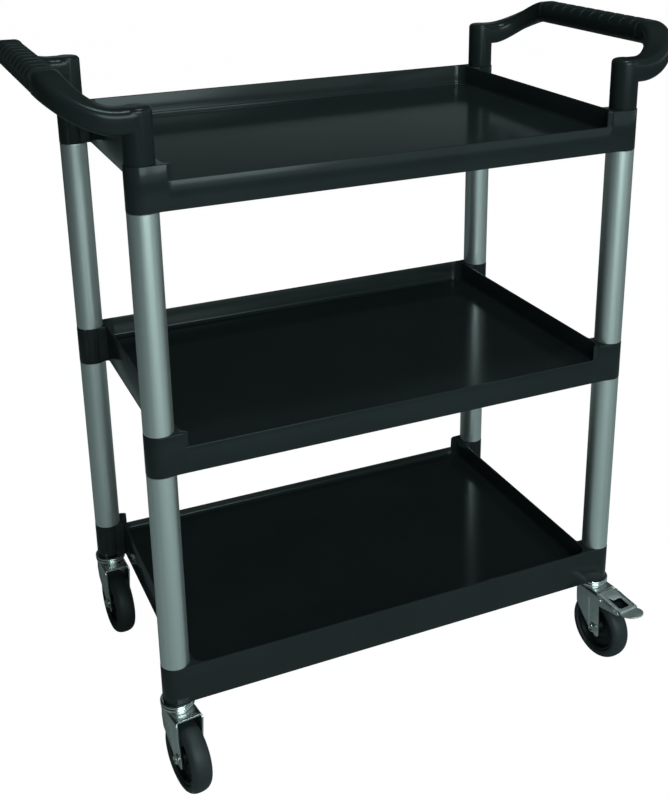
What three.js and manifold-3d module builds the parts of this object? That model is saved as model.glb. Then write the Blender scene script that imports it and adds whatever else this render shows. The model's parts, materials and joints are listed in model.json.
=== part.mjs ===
// A rolling utility cart: three moulded trays on aluminium posts, a push handle at each
// end, and four swivel casters, two of them with a brake pedal.
// Millimetres, +Z up, +X along the trays towards the braked end, -Y the low-lipped side.
// The origin is on the floor, in the middle of the rectangle that the cart covers.
import * as THREE from 'three';
import { mergeVertices } from 'three/addons/utils/BufferGeometryUtils.js';
import Module from 'manifold-3d';

const wasm = await Module();
wasm.setup();

// ---- driving dimensions -------------------------------------------------------------
const POST_SPACING_X = 660;
const POST_SPACING_Y = 378;
const TRAY_PITCH = 336;          // from one tray's rim to the next
const GAP = 0.3;                 // between pieces that touch

const TUBE_RADIUS = 19;
const TUBE_WALL = 1.5;

const TRAY_HEIGHT = 55;
const TRAY_WALL = 3;
const DECK_DEPTH = 31;           // rim to deck
const DECK_THICKNESS = 3.2;
const DECK_FILLET = 6;
const WELL_CORNER = 16;          // plan radius of the well's corners
const LIP_DROP = 19.5;           // how much lower the low long wall is
const COLLAR_REVEAL = 0.3;       // how far a collar stands proud of its tube
const WALL_TUCK = 1.8;           // how far the long wall sits inside the collar's side
const END_WALL_SPACE = 2;        // tube to the end wall
const COLLAR_WEB = 33;           // width of the block that joins a collar to the walls
const RIB = 2.4;                 // thickness of the ribs under a deck
const LONG_RIBS = 2;
const CROSS_RIBS = 3;

const SPIGOT_ENTRY = 28;         // how far a spigot reaches into a tube
const SPIGOT_WALL = 2.6;
const SPIGOT_CHAMFER = 2;

const HANDLE_REACH = 84;         // post centre to the grip's centre
const ARM_HEIGHT = 50.5;         // rim to the arm's centre
const GRIP_HEIGHT = 87;          // rim to the grip's centre
const LEG_STEP = 1;              // how far a handle's leg steps in from its collar
const ARM_DEPTH = 31;
const ARM_ROUND = 10;
const BAR_WIDTH = 31;            // the bar inside the grip sleeve
const BAR_DEPTH = 25;
const BAR_ROUND = 10;
const BEND_RADIUS = 64;          // plan radius of the arm's bend
const BEND_STEPS = 8;
const LEG_TOP_ROUND = 5;
const SLEEVE_INSET = 1.5;        // from the end of the bend to the sleeve
const SLEEVE_WALL = 3.2;

const SWIVEL_HEIGHT = 11;        // fork's crown to the tray's underside
const WHEEL_RADIUS = 50;
const WHEEL_WIDTH = 30;
const TREAD_ROUND = 11;
const HUB_RADIUS = 37;
const TRAIL = 25;                // swivel axis to axle
const CROWN_CLEARANCE = 12.5;    // tread to the fork's crown
const FORK_CLEARANCE = 2.5;      // tyre to fork leg, at the crown
const HUB_INSET = 2.5;           // how far the wheel's barrel sits inside the tyre's side
const HUB_CLEARANCE = 1;         // barrel to fork leg, at the axle
const PLATE = 2.5;               // pressed steel of the fork
const STEM_RADIUS = 5.3;
const STEM_ENTRY = 44;
const AXLE_RADIUS = 4;
const BUSH_WALL = 1.8;
const CUP_RADIUS = 23;
const PEDAL_PLATE = 2;
const PIN_RADIUS = 2;
const PEDAL_DROP = 10;           // how far below its pivot the pedal reaches when it is down

// How far each caster has swung from straight out towards -Y, in degrees.
const CASTERS = [
  { name: 'near_left', x: -1, y: -1, swing: 8, brake: false },
  { name: 'near_right', x: 1, y: -1, swing: 7, brake: true },
  { name: 'far_left', x: -1, y: 1, swing: 3, brake: false },
  { name: 'far_right', x: 1, y: 1, swing: 5, brake: true },
];

// ---- sizes that follow ---------------------------------------------------------------
const POST_X = POST_SPACING_X / 2;
const POST_Y = POST_SPACING_Y / 2;
const COLLAR_RADIUS = TUBE_RADIUS + COLLAR_REVEAL;
const LEG_RADIUS = COLLAR_RADIUS - LEG_STEP;
const END_WALL = POST_X - TUBE_RADIUS - END_WALL_SPACE;         // to the end wall's outer face
const LONG_WALL = POST_Y + COLLAR_RADIUS - WALL_TUCK;           // to the long wall's outer face
const TUBE_BORE = TUBE_RADIUS - TUBE_WALL;
const SPIGOT_RADIUS = TUBE_BORE - GAP;
const GRIP_X = POST_X + HANDLE_REACH;
const SLEEVE_LENGTH = 2 * (POST_Y - BEND_RADIUS - SLEEVE_INSET);

const CROWN_BASE = 2 * WHEEL_RADIUS + CROWN_CLEARANCE;
const CROWN_TOP = CROWN_BASE + PLATE;
const CASTER_HEIGHT = CROWN_TOP + SWIVEL_HEIGHT;                // floor to the tray's underside
const RIMS = [0, 1, 2].map((i) => CASTER_HEIGHT + TRAY_HEIGHT + i * TRAY_PITCH);
const [BOTTOM_RIM, MIDDLE_RIM, TOP_RIM] = RIMS;
// Half the space between a fork's legs, at the crown and at the axle.
const CROWN_HALF = WHEEL_WIDTH / 2 + FORK_CLEARANCE;
const BARREL_HALF = WHEEL_WIDTH / 2 - HUB_INSET;
const AXLE_HALF = BARREL_HALF + HUB_CLEARANCE;
const LEG_SLANT = Math.atan2(CROWN_HALF - AXLE_HALF, CROWN_TOP - WHEEL_RADIUS);

// ---- colours --------------------------------------------------------------------------
const FINISHES = {
  black_plastic: { color: 0x1a1f20, roughness: 0.42, metalness: 0 },
  grip_rubber: { color: 0x202425, roughness: 0.6, metalness: 0 },
  satin_aluminium: { color: 0xa9b4b4, roughness: 0.38, metalness: 1 },
  bright_zinc: { color: 0xc2caca, roughness: 0.22, metalness: 1 },
  dark_steel: { color: 0x70787a, roughness: 0.35, metalness: 1 },
  nylon: { color: 0x2a2e2f, roughness: 0.5, metalness: 0 },
  tyre_rubber: { color: 0x2b3030, roughness: 0.7, metalness: 0 },
};

// ---- helpers ----------------------------------------------------------------------------
// A closed geometry as a solid that can be joined and cut.
function solid(geometry) {
  const bare = geometry.index ? geometry.toNonIndexed() : geometry.clone();
  bare.deleteAttribute('normal');
  bare.deleteAttribute('uv');
  const merged = mergeVertices(bare, 1e-3);
  return new wasm.Manifold(new wasm.Mesh({
    numProp: 3,
    vertProperties: new Float32Array(merged.attributes.position.array),
    triVerts: new Uint32Array(merged.index.array),
  }));
}

// A solid as a geometry with flat faces.
function geometryOf(body) {
  const mesh = body.getMesh();
  const indexed = new THREE.BufferGeometry();
  indexed.setAttribute('position', new THREE.BufferAttribute(mesh.vertProperties, 3));
  indexed.setIndex(new THREE.BufferAttribute(mesh.triVerts, 1));
  const flat = indexed.toNonIndexed();
  flat.computeVertexNormals();
  return flat;
}

const join = (...bodies) => bodies.reduce((a, b) => a.add(b));
const cut = (body, ...tools) => tools.reduce((a, b) => a.subtract(b), body);

// A closed profile of [radius, z] points, anticlockwise, turned about the Z axis.
// A half step of phase puts a flat rather than an edge on each of the four axes.
function turned(profile, segments, phase = 0) {
  const points = [...profile, profile[0]].map(([r, z]) => new THREE.Vector2(r, z));
  return new THREE.LatheGeometry(points, segments, phase).rotateX(Math.PI / 2);
}

const disc = (radius, low, high, segments) =>
  turned([[0, low], [radius, low], [radius, high], [0, high]], segments);

const ring = (inner, outer, low, high, segments) =>
  turned([[inner, low], [outer, low], [outer, high], [inner, high]], segments);

// A box from its lowest to its highest corner.
function block(low, high) {
  const [a, b] = [new THREE.Vector3(...low), new THREE.Vector3(...high)];
  const size = b.clone().sub(a);
  const middle = a.clone().add(b).multiplyScalar(0.5);
  return new THREE.BoxGeometry(...size).translate(...middle);
}

// A rectangle with round corners about the origin.
function roundedRectangle(width, depth, radius) {
  const [x, y] = [width / 2 - radius, depth / 2 - radius];
  const shape = new THREE.Shape();
  shape.absarc(x, y, radius, 0, Math.PI / 2);
  shape.absarc(-x, y, radius, Math.PI / 2, Math.PI);
  shape.absarc(-x, -y, radius, Math.PI, Math.PI * 1.5);
  shape.absarc(x, -y, radius, Math.PI * 1.5, Math.PI * 2);
  return shape;
}

function extruded(shape, depth, steps = 5) {
  return new THREE.ExtrudeGeometry(shape, { depth, bevelEnabled: false, curveSegments: steps });
}

// A shape drawn in a caster's side view, [along the trail, up], as a plate across it.
function sidePlate(shape, from, to, steps = 8) {
  return extruded(shape, to - from, steps).rotateX(Math.PI / 2).translate(0, to, 0);
}

// A cylinder across a caster, from one side to the other.
function crossPin(radius, from, to, along, up, segments) {
  return disc(radius, from, to, segments).rotateX(-Math.PI / 2).translate(along, 0, up);
}

const cart = new THREE.Group();

function place(parent, name, geometry, finish) {
  const mesh = new THREE.Mesh(geometry, new THREE.MeshStandardMaterial(FINISHES[finish]));
  mesh.name = name;
  parent.add(mesh);
  return mesh;
}

const CORNERS = [[-1, -1], [1, -1], [-1, 1], [1, 1]];
const cornerName = (x, y) => `${y < 0 ? 'near' : 'far'}_${x < 0 ? 'left' : 'right'}`;

// ---- trays ------------------------------------------------------------------------------
// The rim is at z = 0. The low lip is the wall at -Y.
function tray() {
  const well = { x: 2 * (END_WALL - TRAY_WALL), y: 2 * (LONG_WALL - TRAY_WALL) };
  const deckTop = -DECK_DEPTH;
  const deckBase = deckTop - DECK_THICKNESS;

  let body = solid(block([-END_WALL, -LONG_WALL, -TRAY_HEIGHT], [END_WALL, LONG_WALL, 0]));

  const fillet = Math.min(DECK_FILLET, WELL_CORNER - 1);
  const pocket = new THREE.ExtrudeGeometry(
    roundedRectangle(well.x, well.y, WELL_CORNER),
    { depth: DECK_DEPTH, curveSegments: 4, bevelSegments: 2,
      bevelThickness: fillet, bevelSize: fillet, bevelOffset: -fillet },
  ).translate(0, 0, deckTop + fillet);

  const underside = solid(
    extruded(roundedRectangle(well.x, well.y, WELL_CORNER), TRAY_HEIGHT, 3)
      .translate(0, 0, deckBase - TRAY_HEIGHT),
  );
  const ribs = [];
  for (let i = 1; i <= LONG_RIBS; i += 1) {
    const y = -LONG_WALL + (2 * LONG_WALL * i) / (LONG_RIBS + 1);
    ribs.push(solid(block([-END_WALL, y - RIB / 2, -TRAY_HEIGHT + RIB],
      [END_WALL, y + RIB / 2, deckTop - 1])));
  }
  for (let i = 1; i <= CROSS_RIBS; i += 1) {
    const x = -END_WALL + (2 * END_WALL * i) / (CROSS_RIBS + 1);
    ribs.push(solid(block([x - RIB / 2, -LONG_WALL, -TRAY_HEIGHT + 2 * RIB],
      [x + RIB / 2, LONG_WALL, deckTop - 1])));
  }
  body = cut(body, solid(pocket), cut(underside, ...ribs));

  const webInner = LONG_WALL - COLLAR_WEB;
  const lowLip = block([-well.x / 2, -LONG_WALL - 1, -LIP_DROP],
    [well.x / 2, -LONG_WALL + TRAY_WALL + 1, 1]);
  body = cut(body, solid(lowLip));

  for (const [x, y] of CORNERS) {
    const web = block(
      [Math.min(x * (END_WALL - 1), x * POST_X), Math.min(y * webInner, y * LONG_WALL),
        -TRAY_HEIGHT],
      [Math.max(x * (END_WALL - 1), x * POST_X), Math.max(y * webInner, y * LONG_WALL), 0],
    );
    const collar = disc(COLLAR_RADIUS, -TRAY_HEIGHT, 0, 24)
      .translate(x * POST_X, y * POST_Y, 0);
    body = join(body, solid(web), solid(collar));
  }
  for (const [x, y] of CORNERS) {
    const bore = disc(TUBE_BORE, -TRAY_HEIGHT - 1, 1, 20)
      .translate(x * POST_X, y * POST_Y, 0);
    body = cut(body, solid(bore));
  }
  return geometryOf(body);
}

const trayGeometry = tray();
place(cart, 'top_tray', trayGeometry, 'black_plastic').position.z = TOP_RIM;
place(cart, 'middle_tray', trayGeometry, 'black_plastic').position.z = MIDDLE_RIM;
const bottomTray = place(cart, 'bottom_tray', trayGeometry, 'black_plastic');
bottomTray.position.z = BOTTOM_RIM;
bottomTray.rotation.z = Math.PI;      // the low lip is at the back

// ---- posts -------------------------------------------------------------------------------
const tubeGeometry = ring(TUBE_BORE, TUBE_RADIUS, GAP, TRAY_PITCH - TRAY_HEIGHT - GAP, 24);

// A spigot's outline between two heights, with a lead-in at each end.
function spigotProfile(inner, low, high) {
  const lead = SPIGOT_RADIUS - SPIGOT_CHAMFER / 2;
  return [
    [inner, low], [lead, low], [SPIGOT_RADIUS, low + SPIGOT_CHAMFER],
    [SPIGOT_RADIUS, high - SPIGOT_CHAMFER], [lead, high], [inner, high],
  ];
}

const joinerGeometry = turned(
  spigotProfile(SPIGOT_RADIUS - SPIGOT_WALL, -TRAY_HEIGHT - SPIGOT_ENTRY, SPIGOT_ENTRY), 16,
);
const socketGeometry = turned(
  spigotProfile(STEM_RADIUS + GAP, -TRAY_HEIGHT + 1, SPIGOT_ENTRY), 16,
);

for (const [x, y] of CORNERS) {
  const corner = new THREE.Group();
  corner.position.set(x * POST_X, y * POST_Y, 0);
  cart.add(corner);
  const at = cornerName(x, y);
  place(corner, `lower_tube_${at}`, tubeGeometry, 'satin_aluminium').position.z = BOTTOM_RIM;
  place(corner, `upper_tube_${at}`, tubeGeometry, 'satin_aluminium').position.z = MIDDLE_RIM;
  place(corner, `tube_joiner_${at}`, joinerGeometry, 'nylon').position.z = MIDDLE_RIM;
  place(corner, `caster_socket_${at}`, socketGeometry, 'nylon').position.z = BOTTOM_RIM;
}

// ---- handles --------------------------------------------------------------------------------
// The outline of a rounded rectangle as points, a fixed number to each corner.
function sectionPoints(width, depth, radius) {
  const perCorner = 3;
  const points = [];
  for (let corner = 0; corner < 4; corner += 1) {
    const sx = corner === 0 || corner === 3 ? 1 : -1;
    const sy = corner < 2 ? 1 : -1;
    for (let i = 0; i < perCorner; i += 1) {
      const angle = (corner + i / (perCorner - 1)) * (Math.PI / 2);
      points.push([sx * (width / 2 - radius) + radius * Math.cos(angle),
        sy * (depth / 2 - radius) + radius * Math.sin(angle)]);
    }
  }
  return points;
}

// A solid whose section follows stations { centre, across, up, section } along a path.
function swept(stations) {
  const count = stations[0].section.length;
  const positions = stations.flatMap(({ centre, across, up, section }) =>
    section.flatMap(([a, b]) => centre.clone()
      .addScaledVector(across, a).addScaledVector(up, b).toArray()));
  const index = [];
  for (let s = 0; s + 1 < stations.length; s += 1) {
    for (let i = 0; i < count; i += 1) {
      const [p, q] = [s * count + i, s * count + (i + 1) % count];
      index.push(p, q + count, q, p, p + count, q + count);
    }
  }
  const last = (stations.length - 1) * count;
  for (let i = 1; i + 1 < count; i += 1) {
    index.push(0, i, i + 1, last, last + i + 1, last + i);
  }
  const geometry = new THREE.BufferGeometry();
  geometry.setAttribute('position', new THREE.Float32BufferAttribute(positions, 3));
  geometry.setIndex(index);
  return geometry;
}

const smooth = (t) => t * t * (3 - 2 * t);

// The right-hand handle about its grip's middle plane, with z = 0 at the top tray's rim.
function handle() {
  const bendX = GRIP_X - BEND_RADIUS;
  const bendY = POST_Y - BEND_RADIUS;
  const arm = sectionPoints(2 * LEG_RADIUS, ARM_DEPTH, ARM_ROUND);
  const bar = sectionPoints(BAR_WIDTH, BAR_DEPTH, BAR_ROUND);
  const station = (x, y, z, degrees, section) => {
    const angle = THREE.MathUtils.degToRad(degrees);
    return {
      centre: new THREE.Vector3(x, y, z),
      across: new THREE.Vector3(Math.sin(angle), -Math.cos(angle), 0),
      up: new THREE.Vector3(0, 0, 1),
      section,
    };
  };
  const half = [station(POST_X, -POST_Y, ARM_HEIGHT, 0, arm)];
  for (let i = 0; i <= BEND_STEPS; i += 1) {
    const degrees = (90 * i) / BEND_STEPS;
    const angle = THREE.MathUtils.degToRad(degrees);
    const rise = smooth(i / BEND_STEPS);
    half.push(station(
      bendX + BEND_RADIUS * Math.sin(angle), -bendY - BEND_RADIUS * Math.cos(angle),
      ARM_HEIGHT + (GRIP_HEIGHT - ARM_HEIGHT) * rise, degrees, arm,
    ));
  }
  const sleeveEnd = SLEEVE_LENGTH / 2 + GAP;
  half.push(station(GRIP_X, -sleeveEnd - 0.6, GRIP_HEIGHT, 90, arm));
  half.push(station(GRIP_X, -sleeveEnd, GRIP_HEIGHT, 90, bar));
  const mirrored = half.map(({ centre, across, up, section }) => ({
    centre: centre.clone().setY(-centre.y),
    across: across.clone().setY(-across.y),
    up,
    section,
  })).reverse();
  let body = solid(swept([...half, ...mirrored]));

  const legTop = ARM_HEIGHT + ARM_DEPTH / 2;
  const round = LEG_TOP_ROUND;
  const shoulder = [0, 1, 2].map((i) => {
    const angle = (i / 2) * (Math.PI / 2);
    return [LEG_RADIUS - round + round * Math.cos(angle),
      legTop - round + round * Math.sin(angle)];
  });
  const leg = [[0, GAP], [LEG_RADIUS, GAP], ...shoulder, [0, legTop]];
  const spigotEnd = -TRAY_HEIGHT - SPIGOT_ENTRY;
  const spigot = [
    [0, spigotEnd], [SPIGOT_RADIUS - SPIGOT_CHAMFER / 2, spigotEnd],
    [SPIGOT_RADIUS, spigotEnd + SPIGOT_CHAMFER], [SPIGOT_RADIUS, GAP + 1], [0, GAP + 1],
  ];
  const hollow = disc(SPIGOT_RADIUS - SPIGOT_WALL, spigotEnd - 1, ARM_HEIGHT - ARM_DEPTH, 16);
  for (const y of [-POST_Y, POST_Y]) {
    body = join(body, solid(turned(leg, 24).translate(POST_X, y, 0)),
      solid(turned(spigot, 16).translate(POST_X, y, 0)));
  }
  for (const y of [-POST_Y, POST_Y]) {
    body = cut(body, solid(hollow.clone().translate(POST_X, y, 0)));
  }
  return geometryOf(body);
}

function gripSleeve() {
  const outer = roundedRectangle(
    BAR_WIDTH + 2 * (GAP + SLEEVE_WALL), BAR_DEPTH + 2 * (GAP + SLEEVE_WALL),
    BAR_ROUND + SLEEVE_WALL + GAP,
  );
  outer.holes.push(roundedRectangle(BAR_WIDTH + 2 * GAP, BAR_DEPTH + 2 * GAP, BAR_ROUND + GAP));
  return extruded(outer, SLEEVE_LENGTH, 4).rotateX(Math.PI / 2)
    .translate(GRIP_X, SLEEVE_LENGTH / 2, GRIP_HEIGHT);
}

const handleGeometry = handle();
const sleeveGeometry = gripSleeve();
for (const [side, turn] of [['right', 0], ['left', Math.PI]]) {
  const end = new THREE.Group();
  end.position.z = TOP_RIM;
  end.rotation.z = turn;
  cart.add(end);
  place(end, `${side}_handle`, handleGeometry, 'black_plastic');
  place(end, `${side}_grip`, sleeveGeometry, 'grip_rubber');
}

// ---- casters ---------------------------------------------------------------------------------
// A caster stands in its own frame: the swivel axis is Z, and the wheel trails along +X.
const LEG_BACK = -11;             // the fork leg's back edge, along the trail
const LEG_TIP = 12;               // radius of the leg around the axle
const LEG_FRONT = TRAIL + LEG_TIP;
const CROWN_FRONT = { plain: LEG_FRONT - 2, braked: LEG_FRONT - 7 };
const PIVOT = { along: LEG_FRONT + 3, up: CROWN_BASE - 5 };
const CHEEK_FRONT = PIVOT.along + 40;
const CHEEK_DROP = 6.5;           // how far the cheek and pedal fall from back to front

function forkLeg(brake) {
  const shape = new THREE.Shape();
  shape.moveTo(LEG_BACK + 4, CROWN_TOP);
  shape.lineTo(LEG_BACK, CROWN_TOP - 4);
  shape.lineTo(LEG_BACK, WHEEL_RADIUS + 30);
  shape.lineTo(TRAIL - LEG_TIP, WHEEL_RADIUS - 2);
  shape.absarc(TRAIL, WHEEL_RADIUS, LEG_TIP, Math.PI * 1.06, Math.PI * 2);
  if (brake) {
    shape.lineTo(LEG_FRONT, CROWN_BASE - 20);
    shape.lineTo(LEG_FRONT + 4, CROWN_BASE - 14.5);
    shape.lineTo(CHEEK_FRONT - 4, CROWN_BASE - 10);
    shape.lineTo(CHEEK_FRONT - 1, CROWN_BASE - 8);
    shape.lineTo(CHEEK_FRONT - 1, CROWN_TOP - CHEEK_DROP - 1);
    shape.lineTo(CROWN_FRONT.braked, CROWN_TOP);
  } else {
    shape.lineTo(LEG_FRONT, CROWN_TOP - 4);
    shape.lineTo(CROWN_FRONT.plain, CROWN_TOP);
  }
  return shape;
}

// The legs lean in from the crown's edges to the axle. Side +1 or -1.
function slantedLeg(shape, side) {
  const near = side < 0 ? -PLATE : 0;
  return sidePlate(shape, near, near + PLATE, 5)
    .translate(0, 0, -CROWN_TOP).rotateX(-side * LEG_SLANT)
    .translate(0, side * CROWN_HALF, CROWN_TOP);
}

// Half the space between the legs at a height.
const legInside = (up) => CROWN_HALF - (CROWN_TOP - up) * Math.tan(LEG_SLANT);

function fork(brake) {
  const front = brake ? CROWN_FRONT.braked : CROWN_FRONT.plain;
  const edge = CROWN_HALF + PLATE * Math.cos(LEG_SLANT) - 0.05;
  const crown = block([LEG_BACK + 4, -edge, CROWN_BASE], [front, edge, CROWN_TOP]);
  let body = join(
    solid(crown),
    solid(disc(CUP_RADIUS - 1.5, CROWN_BASE, CROWN_TOP, 20)),
    ...[-1, 1].map((side) => solid(slantedLeg(forkLeg(brake), side))),
  );
  const reach = CROWN_HALF + PLATE + 1;
  body = cut(body,
    solid(disc(STEM_RADIUS + GAP, CROWN_BASE - 1, CROWN_TOP + 1, 16)),
    solid(crossPin(AXLE_RADIUS + GAP, -reach, reach, TRAIL, WHEEL_RADIUS, 12)));
  if (brake) {
    body = cut(body,
      solid(crossPin(PIN_RADIUS + GAP, -reach, reach, PIVOT.along, PIVOT.up, 8)));
  }
  return geometryOf(body);
}

// The fixed half of the swivel head, a dished cup over the ball race.
const RACE_RADIUS = CUP_RADIUS - 3.4;
const CUP_TOP = CASTER_HEIGHT - GAP;
const CUP_PLATE = CASTER_HEIGHT - 4;
const CUP_SKIRT = CROWN_TOP + GAP;
const cupGeometry = turned([
  [STEM_RADIUS + GAP, CUP_PLATE], [RACE_RADIUS + GAP, CUP_PLATE],
  [RACE_RADIUS + GAP, CUP_SKIRT], [CUP_RADIUS - 1, CUP_SKIRT],
  [CUP_RADIUS, CUP_SKIRT + 1.5], [CUP_RADIUS, CUP_TOP - 3], [CUP_RADIUS - 2, CUP_TOP],
  [STEM_RADIUS + GAP, CUP_TOP],
], 20);
const raceGeometry = ring(RACE_RADIUS - 9, RACE_RADIUS, CROWN_TOP + GAP, CUP_PLATE - GAP, 16);

// The kingpin: a riveted head under the crown, and a stem up into the socket.
const stemGeometry = turned([
  [0, CROWN_BASE - 4], [5, CROWN_BASE - 4], [7.5, CROWN_BASE - 2], [7.5, CROWN_BASE - GAP],
  [STEM_RADIUS, CROWN_BASE - GAP], [STEM_RADIUS, CASTER_HEIGHT + STEM_ENTRY - 2],
  [STEM_RADIUS - 2, CASTER_HEIGHT + STEM_ENTRY], [0, CASTER_HEIGHT + STEM_ENTRY],
], 12);

// A bolt with a hexagon head outside one fork leg and its nut outside the other. The head
// stands clear of the leaning leg all round.
function axle() {
  const hexagon = 6.5;
  const face = AXLE_HALF + PLATE / Math.cos(LEG_SLANT) + hexagon * Math.tan(LEG_SLANT) + GAP;
  const end = face + 4;
  const shaft = crossPin(AXLE_RADIUS, -end, end, TRAIL, WHEEL_RADIUS, 12);
  const head = crossPin(hexagon, face, end - 0.5, TRAIL, WHEEL_RADIUS, 6);
  const nut = crossPin(hexagon, -end + 0.5, -face, TRAIL, WHEEL_RADIUS, 6);
  return geometryOf(join(solid(shaft), solid(head), solid(nut)));
}
const BUSH_OUTER = AXLE_RADIUS + GAP + BUSH_WALL;
const BUSH_HALF = AXLE_HALF - BUSH_OUTER * Math.tan(LEG_SLANT) - GAP;
const bushGeometry = ring(AXLE_RADIUS + GAP, BUSH_OUTER, -BUSH_HALF, BUSH_HALF, 12)
  .rotateX(Math.PI / 2).translate(TRAIL, 0, WHEEL_RADIUS);

// The wheel turns about the axle, so both pieces are turned about the caster's cross axis.
const WHEEL_SIDES = 24;
function wheelPiece(profile) {
  return turned(profile, WHEEL_SIDES, Math.PI / WHEEL_SIDES)
    .rotateX(Math.PI / 2).translate(TRAIL, 0, WHEEL_RADIUS);
}
const [HUB_BORE, BARREL_RADIUS, RIM_INNER] = [BUSH_OUTER + GAP, 11, HUB_RADIUS - 5];
const [WEB_HALF, RIM_HALF] = [5, BARREL_HALF - 1];
const BARREL_END = BARREL_HALF - BARREL_RADIUS * Math.tan(LEG_SLANT);
const centreGeometry = wheelPiece([
  [HUB_BORE, -BARREL_END], [BARREL_RADIUS, -BARREL_END], [RIM_INNER, -WEB_HALF],
  [HUB_RADIUS, -RIM_HALF], [HUB_RADIUS, RIM_HALF], [RIM_INNER, WEB_HALF],
  [BARREL_RADIUS, BARREL_END], [HUB_BORE, BARREL_END],
]);
// The flats of the tread touch the floor, so its corners stand a little further out.
const TREAD_RADIUS = WHEEL_RADIUS / Math.cos(Math.PI / WHEEL_SIDES);
function tyreProfile() {
  const steps = 2;
  const side = [];
  for (let i = 0; i <= steps; i += 1) {
    const angle = (i / steps) * (Math.PI / 2);
    side.push([TREAD_RADIUS - TREAD_ROUND * (1 - Math.sin(angle)),
      WHEEL_WIDTH / 2 - TREAD_ROUND * (1 - Math.cos(angle))]);
  }
  const [seat, bead] = [HUB_RADIUS + GAP, RIM_HALF];
  const low = side.map(([r, y]) => [r, -y]);
  return [[seat, -bead], ...low, ...side.reverse(), [seat, bead]];
}
const tyreGeometry = wheelPiece(tyreProfile());

// A pressed lever between the fork's cheeks. Its shoe bears on the tread when it is down.
function brakePedal() {
  const flangeLow = PIVOT.up - 4;
  const half = legInside(PIVOT.up - PEDAL_DROP) - GAP;
  const [back, front] = [CROWN_FRONT.braked + 1.5, CHEEK_FRONT];
  const [backTop, frontTop] = [CROWN_TOP - 1, CROWN_TOP - CHEEK_DROP];
  const slope = Math.atan2(backTop - frontTop, front - back);
  const length = Math.hypot(backTop - frontTop, front - back);
  const plate = block([0, -half, -PEDAL_PLATE], [length + 0.5, half, 0])
    .rotateY(slope).translate(back, 0, backTop);
  const window = block([length * 0.52, -half * 0.55, -6], [length * 0.88, half * 0.55, 4])
    .rotateY(slope).translate(back, 0, backTop);
  const tongueShape = new THREE.Shape();
  tongueShape.moveTo(0, -half);
  tongueShape.lineTo(6, -half - 1);
  tongueShape.absellipse(6, 0, 18, half + 1, -Math.PI / 2, Math.PI / 2);
  tongueShape.lineTo(0, half);
  const tongue = extruded(tongueShape, PEDAL_PLATE, 8).translate(0, 0, -PEDAL_PLATE)
    .rotateY(-0.22).translate(front, 0, frontTop);
  const flange = new THREE.Shape();
  flange.moveTo(back, flangeLow);
  flange.lineTo(PIVOT.along + 5, flangeLow);
  flange.lineTo(front - 8, frontTop - 3);
  flange.lineTo(front - 8, frontTop);
  flange.lineTo(back, backTop - 0.5);
  const shoe = block([PIVOT.along + 9, -11, PIVOT.up - 10],
    [PIVOT.along + 16, 11, PIVOT.up + 2]);
  const body = join(
    cut(join(solid(plate), solid(tongue)), solid(window)),
    solid(sidePlate(flange, -half, -half + PEDAL_PLATE)),
    solid(sidePlate(flange, half - PEDAL_PLATE, half)),
    solid(shoe),
  );
  const hole = crossPin(PIN_RADIUS + GAP, -half - 1, half + 1, PIVOT.along, PIVOT.up, 8);
  return geometryOf(cut(body, solid(hole)));
}

function pivotPin() {
  const head = 3.2;
  const face = legInside(PIVOT.up) + PLATE / Math.cos(LEG_SLANT) + head * Math.tan(LEG_SLANT)
    + GAP;
  const end = face + 1.2;
  const shaft = crossPin(PIN_RADIUS, -end + 0.2, end - 0.2, PIVOT.along, PIVOT.up, 8);
  const heads = [[-end, -face], [face, end]]
    .map(([from, to]) => crossPin(head, from, to, PIVOT.along, PIVOT.up, 8));
  return geometryOf(join(solid(shaft), ...heads.map(solid)));
}

const axleGeometry = axle();
const forkGeometry = fork(false);
const brakeForkGeometry = fork(true);
const pedalGeometry = brakePedal();
const pinGeometry = pivotPin();

for (const { name, x, y, swing, brake } of CASTERS) {
  const caster = new THREE.Group();
  caster.position.set(x * POST_X, y * POST_Y, 0);
  caster.rotation.z = THREE.MathUtils.degToRad(swing - 90);
  cart.add(caster);
  place(caster, `caster_stem_${name}`, stemGeometry, 'dark_steel');
  place(caster, `swivel_cup_${name}`, cupGeometry, 'bright_zinc');
  place(caster, `ball_race_${name}`, raceGeometry, 'dark_steel');
  place(caster, `fork_${name}`, brake ? brakeForkGeometry : forkGeometry, 'bright_zinc');
  place(caster, `axle_bolt_${name}`, axleGeometry, 'bright_zinc');
  place(caster, `axle_bush_${name}`, bushGeometry, 'dark_steel');
  place(caster, `wheel_centre_${name}`, centreGeometry, 'black_plastic');
  place(caster, `tyre_${name}`, tyreGeometry, 'tyre_rubber');
  if (brake) {
    place(caster, `brake_pedal_${name}`, pedalGeometry, 'bright_zinc');
    place(caster, `brake_pin_${name}`, pinGeometry, 'dark_steel');
  }
}

// The casters trail to one side, so the covered rectangle's middle is off the posts' middle.
cart.updateMatrixWorld(true);
const covered = new THREE.Box3().setFromObject(cart, true);
cart.position.set(
  -(covered.min.x + covered.max.x) / 2, -(covered.min.y + covered.max.y) / 2, -covered.min.z,
);

export default cart;
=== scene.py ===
# %% [markdown]
# # A rolling utility cart
# Three black moulded trays stand on four pairs of aluminium tubes. A push handle with a ribbed
# grip stands at each end, and each corner rolls on a zinc-plated swivel caster, two with a brake.
#
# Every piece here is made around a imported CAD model, the frame. It says where each piece goes
# and which body it moves with. Sizes below are in millimetres, and become metres in the meshes.

# %% Load the frame
import json
import math

import bmesh
import bpy
from mathutils import Matrix, Vector

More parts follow.
